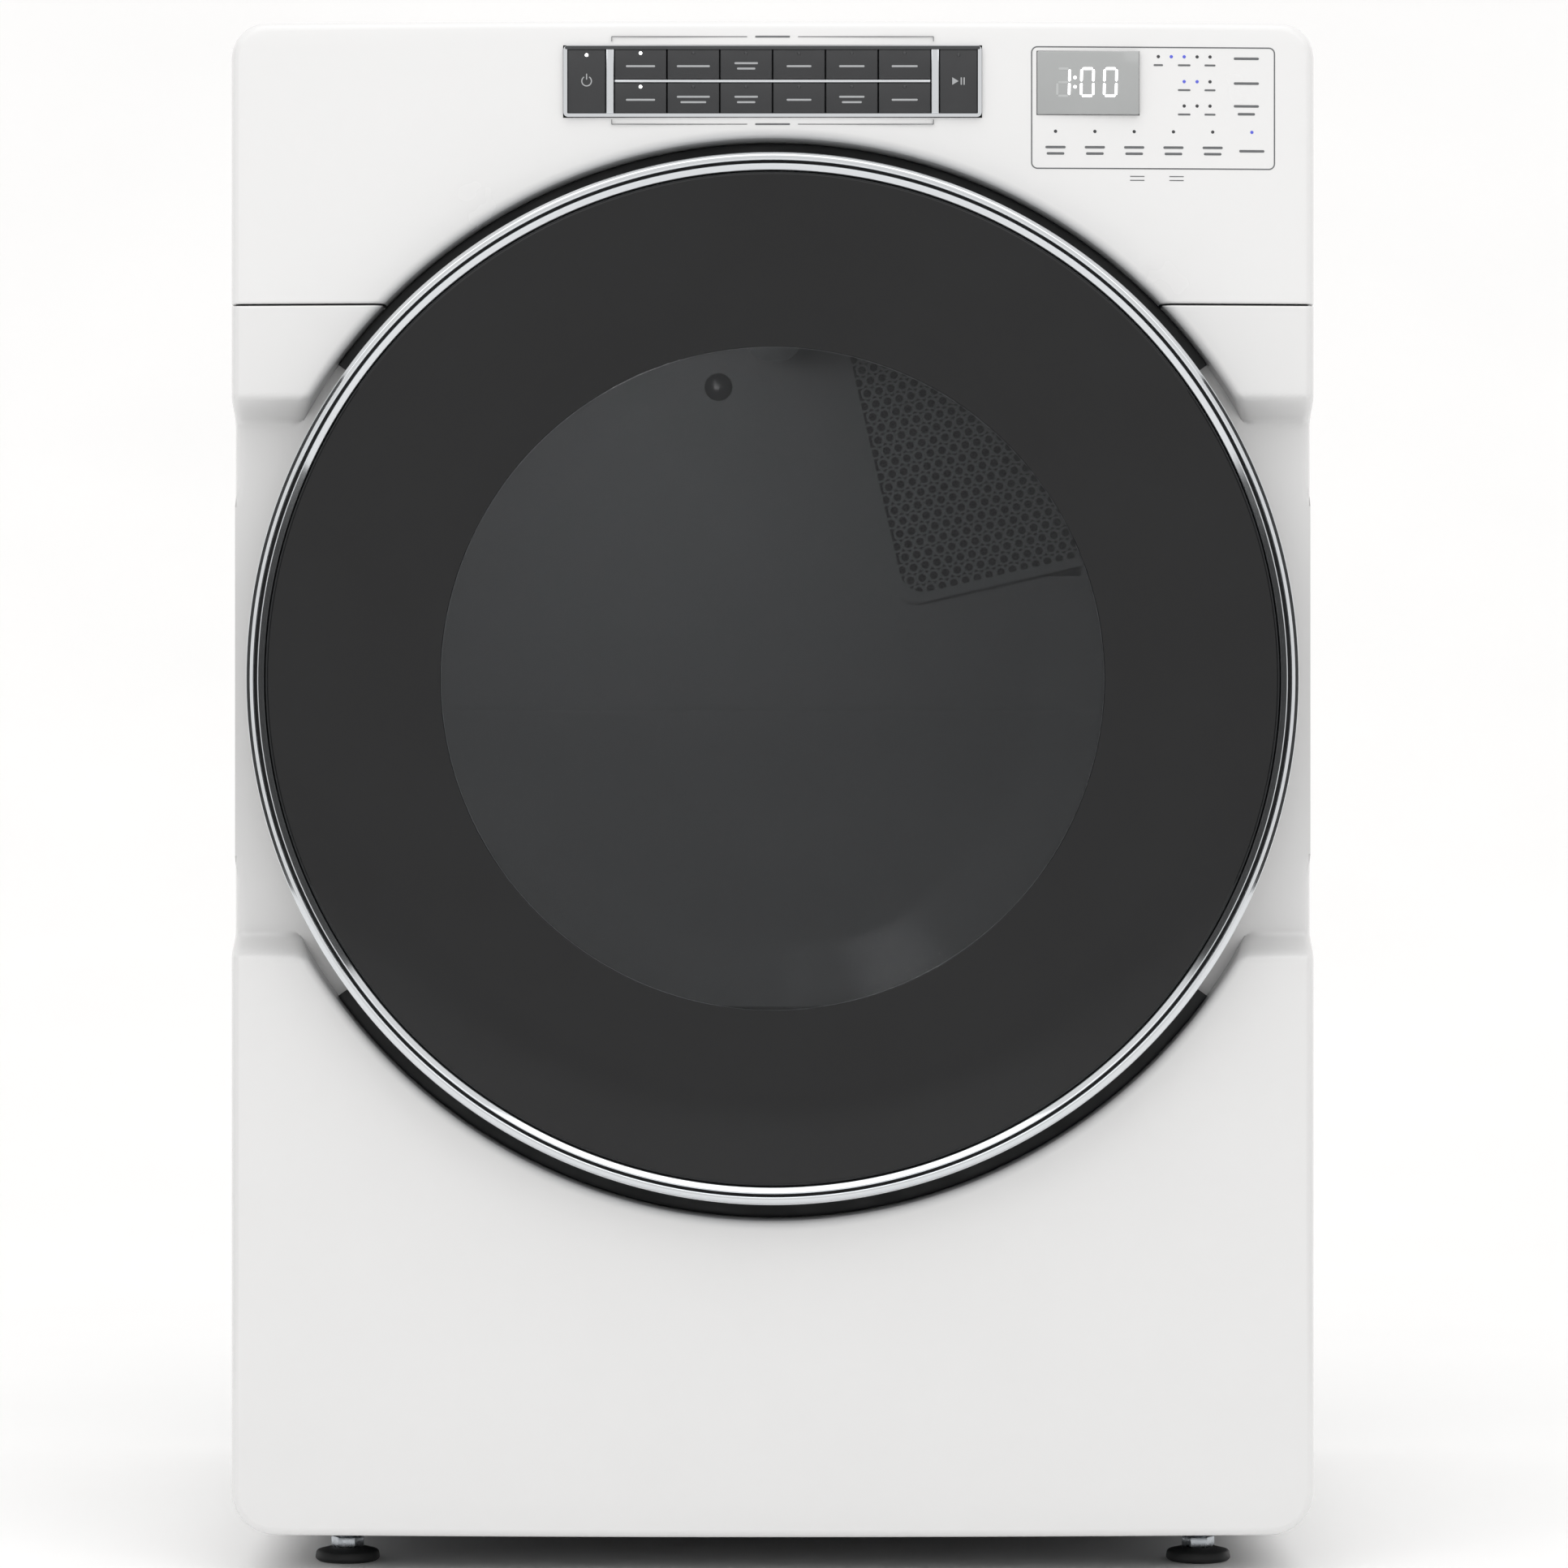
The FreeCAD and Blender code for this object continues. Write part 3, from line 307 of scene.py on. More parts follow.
def finish_of(name):
    """The material of a finish, made from its row when it is first asked for."""
    if name in MADE:
        return MADE[name]
    base, roughness, sockets, layers = FINISHES[name]
    if base.startswith("#"):
        base = linear(base)
    else:
        base = tuple(getattr(bpy.context.scene.dryer_finish, base))
    material = MADE[name] = bpy.data.materials.new(name)
    material.use_nodes = True
    tree = material.node_tree
    shader = tree.nodes["Principled BSDF"]
    sockets = {"Base Color": base, "Roughness": roughness, **sockets}
    if "Emission Strength" in sockets:
        sockets["Emission Color"] = base
    for socket, setting in sockets.items():
        shader.inputs[socket].default_value = setting
    for change, spacing, first, second, *others in layers:
        pattern = grain(tree, spacing, **(others[0] if others else {}))
        socket, result = change(tree, pattern, base, first, second)
        tree.links.new(result, shader.inputs[socket])
    return material


# Small tools.


def ease(value):
    """Smooth step from 0 to 1."""
    value = max(0.0, min(1.0, value))
    return value * value * (3 - 2 * value)


def console_y(x):
    """The console's face, bowed in plan."""
    return CONSOLE_Y + BOW * (x / HALF_WIDTH) ** 2


def soften(points, radius, steps=4):
    """Round each corner of a closed outline; a corner takes less where its sides are short."""
    result = []
    count = len(points)
    for i, point in enumerate(points):
        here = Vector(point)
        before = Vector(points[i - 1]) - here
        after = Vector(points[(i + 1) % count]) - here
        reach = min(radius, before.length * 0.45, after.length * 0.45)
        if before.length < 1e-9 or after.length < 1e-9 or here.y < 1e-9:
            result.append(tuple(here))
            continue
        start = here + before.normalized() * reach
        end = here + after.normalized() * reach
        for step in range(steps + 1):
            t = step / steps
            result.append(tuple(start * (1 - t) ** 2 + here * 2 * t * (1 - t) + end * t ** 2))
    return result


def divided(outline, pitch):
    """The same closed outline with points added along its long sides."""
    points = []
    for i, (x, z) in enumerate(outline):
        far_x, far_z = outline[(i + 1) % len(outline)]
        count = max(1, round(math.hypot(far_x - x, far_z - z) / pitch))
        points += [(x + (far_x - x) * n / count, z + (far_z - z) * n / count)
                   for n in range(count)]
    return points


def rounded_box_outline(centre_x, centre_z, half_x, half_z, radius, steps=6):
    """Corner points of a rounded rectangle, as (x, z)."""
    points = []
    for quarter, (sx, sz) in enumerate(((1, 1), (-1, 1), (-1, -1), (1, -1))):
        for step in range(steps + 1):
            angle = math.radians(90 * (quarter + step / steps))
            points.append((centre_x + sx * (half_x - radius) + radius * math.cos(angle),
                           centre_z + sz * (half_z - radius) + radius * math.sin(angle)))
    return points


def bar_outline(x, z, half_x, half_z):
    return rounded_box_outline(x, z, half_x, half_z, min(half_x, half_z) * 0.9, 3)


def disc_outline(x, z, radius, steps=14):
    turns = [2 * math.pi * i / steps for i in range(steps)]
    return [(x + radius * math.cos(turn), z + radius * math.sin(turn)) for turn in turns]


def outwards(mesh):
    bmesh.ops.recalc_face_normals(mesh, faces=mesh.faces)


def merge(mesh, part):
    """Add one bmesh to another, and free it."""
    data = bpy.data.meshes.new("part")
    part.to_mesh(data)
    part.free()
    mesh.from_mesh(data)
    bpy.data.meshes.remove(data)


def lathe(mesh, profile, centre, steps=256, start=0.0, sweep=360.0, closed=True):
    """Turn a (y, radius) outline about the Y axis through a centre, into the bmesh."""
    whole = sweep >= 360
    count = steps if whole else steps + 1
    rings = []
    for number in range(count):
        angle = math.radians(start + sweep * number / steps)
        c, s = math.cos(angle), math.sin(angle)
        rings.append([mesh.verts.new((centre.x + r * c, y, centre.z + r * s))
                      for y, r in profile])
    size = len(profile)
    for number in range(steps):
        this, following = rings[number], rings[(number + 1) % count]
        for i in range(size if closed else size - 1):
            j = (i + 1) % size
            mesh.faces.new((this[i], this[j], following[j], following[i]))
    if closed and not whole:
        mesh.faces.new(rings[0])
        mesh.faces.new(rings[-1][::-1])
    bmesh.ops.remove_doubles(mesh, verts=mesh.verts, dist=WELD)
    outwards(mesh)


def block(mesh, low, high, radius=mm(0.5), segments=2):
    """A box with rounded edges, into the bmesh."""
    made = bmesh.ops.create_cube(mesh, size=1)["verts"]
    span = Vector(high) - Vector(low)
    centre = (Vector(high) + Vector(low)) / 2
    for vert in made:
        vert.co = Vector(vert.co[i] * span[i] for i in range(3)) + centre
    edges = list({edge for vert in made for edge in vert.link_edges})
    bmesh.ops.bevel(mesh, geom=edges, offset=min(radius, min(span) * 0.45), segments=segments,
                    profile=0.5, affect="EDGES")


def slab(mesh, outline, low_y, high_y, radius=mm(0.4), segments=2):
    """An (x, z) outline given thickness along Y, with its edges rounded."""
    verts = [mesh.verts.new((x, low_y, z)) for x, z in outline]
    face = mesh.faces.new(verts)
    raised = bmesh.ops.extrude_face_region(mesh, geom=[face])["geom"]
    moved = [item for item in raised if isinstance(item, bmesh.types.BMVert)]
    bmesh.ops.translate(mesh, verts=moved, vec=(0, high_y - low_y, 0))
    outwards(mesh)
    if radius:
        faces = {item for vert in verts + moved for item in vert.link_faces}
        rims = [edge for edge in {e for f in faces for e in f.edges}
                if abs(edge.verts[0].co.y - edge.verts[1].co.y) < 1e-9]
        bmesh.ops.bevel(mesh, geom=rims, offset=radius, segments=segments, profile=0.5,
                        affect="EDGES")


def flat_frame(mesh, outer, inner, low_y, high_y):
    """A frame between two outlines of equal count, with thickness along Y."""
    front_out, front_in, back_out, back_in = (
        [mesh.verts.new((x, y, z)) for x, z in outline]
        for y in (low_y, high_y) for outline in (outer, inner))
    for i in range(len(outer)):
        j = (i + 1) % len(outer)
        for one, other in ((front_out, front_in), (back_in, back_out), (back_out, front_out),
                           (front_in, back_in)):
            mesh.faces.new((one[i], one[j], other[j], other[i]))
    outwards(mesh)


def dome(radius, height):
    """A low round cap that faces -Y, for lamps and touch pads."""
    shape = bmesh.new()
    profile = [(0, radius), (-height * 0.6, radius * 0.94), (-height, radius * 0.6), (-height, 0)]
    lathe(shape, profile, ORIGIN, steps=12, closed=False)
    return shape


def screw_head():
    """A pan head with a cross recess, facing +Y."""
    shape = bmesh.new()
    radius, height = mm(3.6), mm(1.8)
    profile = [(0, radius), (height * 0.5, radius * 0.95), (height, radius * 0.6),
               (height, radius * 0.32), (height * 0.4, radius * 0.12), (height * 0.4, 0)]
    lathe(shape, profile, ORIGIN, steps=12, closed=False)
    return shape


# Pieces.


def piece(name, mesh, finish):
    """A linked object that holds the bmesh as its mesh, in one finish."""
    data = bpy.data.meshes.new(name)
    mesh.to_mesh(data)
    mesh.free()
    data.materials.append(finish_of(finish))
    thing = bpy.data.objects.new(name, data)
    bpy.context.scene.collection.objects.link(thing)
    return thing


def harden(thing):
    """Replace a piece's live modifiers by their result."""
    bpy.context.view_layer.update()
    graph = bpy.context.evaluated_depsgraph_get()
    data = bpy.data.meshes.new_from_object(thing.evaluated_get(graph))
    thing.modifiers.clear()
    thing.data = data


def ride(thing, body, replaced=()):
    """Put a finished piece on its body, in place of frame parts."""
    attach(thing, body)
    if replaced:
        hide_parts(*replaced)


def publish(name, mesh, finish, body, replaced=(), sharp=35, wall=0.0):
    """Turn a bmesh into a finished piece that rides on a body.

    An open sheet gets its wall on the side away from its outer face.
    """
    bmesh.ops.remove_doubles(mesh, verts=mesh.verts, dist=WELD)
    bmesh.ops.dissolve_degenerate(mesh, edges=mesh.edges, dist=WELD / 2)
    limit = math.radians(sharp)
    for edge in mesh.edges:
        edge.smooth = len(edge.link_faces) != 2 or edge.calc_face_angle(0) < limit
    for face in mesh.faces:
        face.smooth = True
    thing = piece(name, mesh, finish)
    if wall:
        solid = thing.modifiers.new("wall", "SOLIDIFY")
        solid.thickness = wall
        solid.offset = -1
        harden(thing)
    ride(thing, body, replaced)


def repeat(name, spots, shape, finish, body, size=1.0):
    """The same small mesh at every spot, by Geometry Nodes, turned to one plain mesh.

    A spot is (x, y, z) and may hold a size of its own; the shape is a bmesh round its origin.
    """
    material = finish_of(finish)
    cloud = bpy.data.meshes.new(f"{name}_spots")
    cloud.from_pydata([spot[:3] for spot in spots], [], [])
    own_sizes = cloud.attributes.new("size", "FLOAT", "POINT")
    for item, spot in zip(own_sizes.data, spots):
        item.value = spot[3] if len(spot) > 3 else 1.0
    thing = bpy.data.objects.new(name, cloud)
    bpy.context.scene.collection.objects.link(thing)
    for face in shape.faces:
        face.smooth = True
    holder = piece(f"{name}_unit", shape, finish)

    tree = bpy.data.node_groups.new(f"{name}_pattern", "GeometryNodeTree")
    for label, side, kind in (("Geometry", "INPUT", "Geometry"), ("Piece", "INPUT", "Object"),
                              ("Size", "INPUT", "Float"), ("Geometry", "OUTPUT", "Geometry")):
        tree.interface.new_socket(label, in_out=side, socket_type=f"NodeSocket{kind}")
    start = add(tree, "NodeGroupInput")
    info = add(tree, "GeometryNodeObjectInfo", {}, {"Object": start.outputs["Piece"]})
    own = add(tree, "GeometryNodeInputNamedAttribute", {"data_type": "FLOAT", "Name": "size"})
    scale = add(tree, "ShaderNodeMath", {"operation": "MULTIPLY"},
                {0: own.outputs["Attribute"], 1: start.outputs["Size"]})
    placed = add(tree, "GeometryNodeInstanceOnPoints", {},
                 {"Points": start.outputs["Geometry"], "Instance": info.outputs["Geometry"],
                  "Scale": scale.outputs[0]})
    real = add(tree, "GeometryNodeRealizeInstances", {}, {0: placed.outputs[0]})
    dressed = add(tree, "GeometryNodeSetMaterial", {"Material": material}, {0: real.outputs[0]})
    add(tree, "NodeGroupOutput", {}, {0: dressed.outputs[0]})

    pattern = thing.modifiers.new("pattern", "NODES")
    pattern.node_group = tree
    for item in tree.interface.items_tree:
        if item.name in ("Piece", "Size"):
            pattern[item.identifier] = holder if item.name == "Piece" else size
    harden(thing)
    thing.data.materials.clear()
    thing.data.materials.append(material)
    bpy.data.objects.remove(holder)
    ride(thing, body)


def printed(name, outlines, y, finish, body, depth=PRINT_DEPTH):
    """Flat printing: thin raised shapes, each an (x, z) outline in front of y.

    Without a y they follow the console's bowed face.
    """
    mesh = bmesh.new()
    for outline in outlines:
        slab(mesh, outline, (y or 0) - depth, y or 0, radius=0)
    if y is None:
        for vert in mesh.verts:
            vert.co.y += console_y(vert.co.x)
    publish(name, mesh, finish, body)


# The pressed front.


def outline_reach(angle, inset, sizes):
    """Distance from the door's centre to the front's rounded outline, pulled in by inset."""
    c, s = math.cos(angle), math.sin(angle)
    right = HALF_WIDTH - inset
    top = HIGH.z - DOOR.z - inset
    bottom = PANEL_LOW.z - DOOR.z + inset
    across = right / abs(c) if abs(c) > 1e-9 else math.inf
    upright = (top if s > 0 else bottom) / s if abs(s) > 1e-9 else math.inf
    reach = min(across, upright)
    x, z = abs(reach * c), reach * s
    radius = (sizes.top_round if s > 0 else sizes.low_round) - inset
    corner = Vector((right - radius, top - radius if s > 0 else bottom + radius))
    if x > corner.x and (z - corner.y) * s > 0:
        along = abs(c) * corner.x + s * corner.y
        reach = along + math.sqrt(along ** 2 - corner.length_squared + radius ** 2)
    return reach


def front_y(x, z, sizes):
    """The front's surface: bowed in plan, and set back in the scoops beside the door."""
    bowed = console_y(x)
    up = z - DOOR.z
    lower = ease((up + sizes.scoop_low + sizes.ramp) / sizes.ramp)
    upper = 1 - ease((up - sizes.scoop_top) / sizes.ramp)
    return bowed + (DISH_FLOOR_Y - bowed) * lower * upper


CURVE_STEPS = 5
FIELD_STEPS = 12
SEAM_BEND = mm(1.4)


def front_angles():
    """Directions from the door's centre, closer together where the ramps and corners are."""
    angles = []
    turn = 0.0
    while turn < 360:
        angles.append(math.radians(turn))
        lean = min(turn % 180, 180 - turn % 180)
        turn += 0.3 if 24 <= lean < 33 else 0.5 if 45 < lean < 60 else 1.0
    return angles


def pressed_front(sizes):
    """The whole pressed front as one open sheet, before it is parted at the seam."""
    mesh = bmesh.new()
    drop = mesh.verts.layers.float.new("drop")
    flange = mesh.verts.layers.float.new("flange")
    lip, edge = sizes.dish_lip, sizes.edge_round
    turns = [math.radians(90 * step / CURVE_STEPS) for step in range(CURVE_STEPS + 1)]
    inner = [(radius, DISH_DEPTH) for radius in
             (mm(232), mm(240), mm(290), DISH_RADIUS - mm(6), DISH_RADIUS - mm(2), DISH_RADIUS)]
    inner += [(DISH_RADIUS + lip * (1 - math.cos(turn)), lip * (1 - math.sin(turn)))
              for turn in turns]
    rings = []
    for angle in front_angles():
        ray = []
        limit = outline_reach(angle, edge, sizes)
        for number, (radius, fall) in enumerate(inner):
            spare = mm(0.8) + (len(inner) - number) * mm(0.3)
            ray.append((min(radius, limit - spare), fall, 0))
        start = ray[-1][0]
        for step in range(1, FIELD_STEPS + 1):
            ray.append((start + (limit - start) * step / FIELD_STEPS, 0, 0))
        for turn in turns[1:]:
            inset = edge * (1 - math.sin(turn))
            ray.append((outline_reach(angle, inset, sizes), edge * (1 - math.cos(turn)), 0))
        ray.append((ray[-1][0], edge, 1))
        column = []
        for radius, fall, back in ray:
            vert = mesh.verts.new((radius * math.cos(angle), 0, DOOR.z + radius * math.sin(angle)))
            vert[drop] = fall
            vert[flange] = back
            column.append(vert)
        rings.append(column)
    for this, following in zip(rings, rings[1:] + rings[:1]):
        for i in range(len(this) - 1):
            mesh.faces.new((this[i], this[i + 1], following[i + 1], following[i]))
    return mesh


def slice_at(mesh, point, normal):
    bmesh.ops.bisect_plane(mesh, geom=mesh.verts[:] + mesh.edges[:] + mesh.faces[:],
                           dist=mm(0.001), plane_co=point, plane_no=normal)


def drop_faces(mesh, unwanted):
    doomed = [face for face in mesh.faces if unwanted(face.calc_center_median())]
    bmesh.ops.delete(mesh, geom=doomed, context="FACES")


def fold_back(mesh, chosen, depth):
    """Turn the open edges that are chosen straight back."""
    edges = [edge for edge in mesh.edges
             if edge.is_boundary and all(chosen(vert.co) for vert in edge.verts)]
    made = bmesh.ops.extrude_edge_only(mesh, edges=edges)["geom"]
    for vert in (item for item in made if isinstance(item, bmesh.types.BMVert)):
        vert.co.y += depth


def front_part(low_z, high_z, seam_z, sizes, holes=()):
    """The front between two heights, with a rounded edge at the seam and openings cut in it."""
    mesh = pressed_front(sizes)
    drop = mesh.verts.layers.float["drop"]
    flange = mesh.verts.layers.float["flange"]
    inward = 1 if seam_z == low_z else -1
    bend = SEAM_BEND
    for share in (0, 0.15, 0.4, 0.7, 1, 2):
        slice_at(mesh, (0, 0, seam_z + inward * bend * share), (0, 0, 1))
    for low_x, high_x, low, high in holes:
        for x in (low_x, high_x):
            slice_at(mesh, (x, 0, 0), (1, 0, 0))
        for z in (low, high):
            slice_at(mesh, (0, 0, z), (0, 0, 1))
    drop_faces(mesh, lambda c: not low_z < c.z < high_z)
    drop_faces(mesh, lambda c: any(a < c.x < b and low < c.z < high for a, b, low, high in holes))
    for vert in mesh.verts:
        surface_y = front_y(vert.co.x, vert.co.z, sizes)
        near = max(0.0, bend - abs(vert.co.z - seam_z))
        rolled = bend - math.sqrt(max(0.0, bend ** 2 - near ** 2))
        y = min(surface_y + vert[drop] + rolled, max(DISH_FLOOR_Y + rolled, surface_y + rolled))
        outside = math.hypot(vert.co.x, vert.co.z - DOOR.z) > DISH_RADIUS + mm(20)
        if outside and vert[flange] == 0 and 0 < vert[drop] <= sizes.edge_round:
            y = surface_y + vert[drop] + rolled
        vert.co.y = y + (FLANGE_Y - y) * vert[flange]
    fold_back(mesh, lambda c: abs(c.z - seam_z) < mm(0.01) and c.y < FLANGE_Y - mm(8), mm(7))
    for low_x, high_x, low, high in holes:
        fold_back(mesh, lambda c: low_x - mm(0.1) < c.x < high_x + mm(0.1)
                  and low - mm(0.1) < c.z < high + mm(0.1), mm(5))
    bmesh.ops.remove_doubles(mesh, verts=mesh.verts, dist=mm(0.05))
    outwards(mesh)
    facing = sum(face.normal.y * face.calc_area() for face in mesh.faces)
    if facing > 0:
        bmesh.ops.reverse_faces(mesh, faces=mesh.faces)
    return mesh


class DRYER_OT_front(bpy.types.Operator):
    """Pressed steel front with its dish and scoops, and the console moulding over it"""

    bl_idname = "dryer.front"
    bl_label = "Front"

    def execute(self, context):
        sizes = context.scene.dryer_sizes
        publish("pressed_front", front_part(0, PANEL_HIGH.z, PANEL_HIGH.z, sizes),
                "baked_enamel", "cabinet", ["front_panel"], wall=mm(1.2))
        gap = mm(0.3)
        holes = [(low.x - gap, high.x + gap, low.z - gap, high.z + gap)
                 for low, high in ((STRIP_LOW, STRIP_HIGH), (PANE_LOW, PANE_HIGH))]
        publish("console_moulding",
                front_part(FASCIA_LOW.z, HIGH.z + 1, FASCIA_LOW.z, sizes, holes), "gloss_abs",
                "cabinet", ["console_fascia"], wall=mm(2.2))
        self.gasket()
        return {"FINISHED"}

    def gasket(self):
        """Painted shade: a dark strip at the bottom of the dish, over and under the door, standing
        in for the shadow in the gap round the ring.
        """
        mesh = bmesh.new()
        strip = [(DISH_FLOOR_Y - mm(out), mm(radius)) for out, radius in
                 ((0.4, 322), (7, 324), (9, 336), (9, 341.8), (0.4, 341.8))]
        for start in (36, 216):
            part = bmesh.new()
            lathe(part, soften(strip, mm(2), 3), DOOR, steps=120, start=start, sweep=108)
            merge(mesh, part)
        # This strip is painted shade: dark rubber laid where the dish is only in shadow.
        publish("dish_gasket", mesh, "epdm_rubber", "cabinet")


# Console.


KEYS = ["power_key", "start_key", *(f"{row}_key_{number}" for row in ("load", "cycle")
                                    for number in range(1, 7))]
LIT_KEYS = ("power_key", "load_key_1", "cycle_key_1")
TWO_LINE_KEYS = ("load_key_3", "cycle_key_2", "cycle_key_3", "cycle_key_5")
MARK_HALF_WIDTHS = (9.2, 10.4, 7.4, 7.8, 8, 8.2)
MARK_HALF_HEIGHT = mm(0.62)
CAP_DEPTH = mm(4)


class DRYER_OT_keys(bpy.types.Operator):
    """Key caps with rounded edges, generic marks in place of their words, and their lamps"""

    bl_idname = "dryer.keys"
    bl_label = "Keys"

    def execute(self, context):
        sizes = context.scene.dryer_sizes
        for name in KEYS:
            low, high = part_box(name)
            body = f"{name}_body"
            mesh = bmesh.new()
            block(mesh, low, (high.x, low.y + CAP_DEPTH, high.z), mm(0.45), 3)
            stem = middle(name)
            top = low.y + CAP_DEPTH - mm(0.4)
            tube = [(top, mm(3)), (high.y, mm(3)), (high.y, mm(1)), (top, mm(1))]
            lathe(mesh, soften(tube, mm(0.4)), stem, steps=24)
            publish(f"{name}_cap", mesh, "key_abs", body, [name])
            lamp_z = high.z - mm(2.4 if name[-1].isdigit() else 3.6)
            repeat(f"{name}_lamp", [(stem.x, low.y + mm(0.02), lamp_z)],
                   dome(sizes.lamp, mm(0.35)), "lamp_lit" if name in LIT_KEYS else "lamp_dark",
                   body)
            printed(f"{name}_mark", self.marks(name, stem), low.y, "key_print", body)
        return {"FINISHED"}

    def marks(self, name, stem):
        """Bars that stand for a label's words, or the usual sign of power and of start."""
        if name == "power_key":
            return self.power_sign(stem.x, stem.z)
        if name == "start_key":
            return self.start_sign(stem.x, stem.z)
        z = stem.z - mm(1.2)
        half = mm(MARK_HALF_WIDTHS[int(name[-1]) - 1])
        lines = [(0, 1)] if name not in TWO_LINE_KEYS else [(1.9, 1), (-1.5, 0.78)]
        return [bar_outline(stem.x, z + mm(rise), half * share, MARK_HALF_HEIGHT)
                for rise, share in lines]

    def power_sign(self, x, z):
        """An open ring with a stroke at its top."""
        gap, steps = 32, 24
        turns = [math.radians(90 + gap + (360 - 2 * gap) * step / steps)
                 for step in range(steps + 1)]
        outline = [(x + radius * math.cos(turn), z + radius * math.sin(turn))
                   for radius, order in ((mm(3.4), 1), (mm(2.7), -1)) for turn in turns[::order]]
        return [outline, bar_outline(x, z + mm(2.8), mm(0.35), mm(1.9))]

    def start_sign(self, x, z):
        """A triangle beside two strokes, the usual sign of start and pause."""
        return [[(x - mm(4), z - mm(2.4)), (x, z), (x - mm(4), z + mm(2.4))],
                bar_outline(x + mm(1.7), z, mm(0.4), mm(2.4)),
                bar_outline(x + mm(3.5), z, mm(0.4), mm(2.4))]


def seven_segments(text, x, z, height, lean=0.02):
    """Outlines of plain seven-segment figures; a space is skipped and a colon is two dots."""
    lit = {"0": "abcdef", "1": "bc", "2": "aged", ":": ""}
    width, bar = height * 0.44, height * 0.05
    half_w, half_h = width / 2, height / 4
    places = {name: (0, rise * half_h, half_w, bar)
              for name, rise in (("a", 2), ("d", -2), ("g", 0))}
    places.update({name: (side * half_w, rise * half_h, bar, half_h)
                   for name, side, rise in
                   (("b", 1, 1), ("c", 1, -1), ("e", -1, -1), ("f", -1, 1))})
    outlines = []
    for figure in text:
        for segment in lit[figure]:
            dx, dz, wide, tall = places[segment]
            shape = bar_outline(x + dx, z + dz, wide * 0.86, tall * 0.86)
            outlines.append([(px + (pz - z) * lean, pz) for px, pz in shape])
        if figure == ":":
            outlines += [disc_outline(x, z + s * height * 0.17, bar * 1.2) for s in (-1, 1)]
            x += width * 1.03
        else:
            x += width * (0.97 if figure == "1" else 1.92)
    return outlines


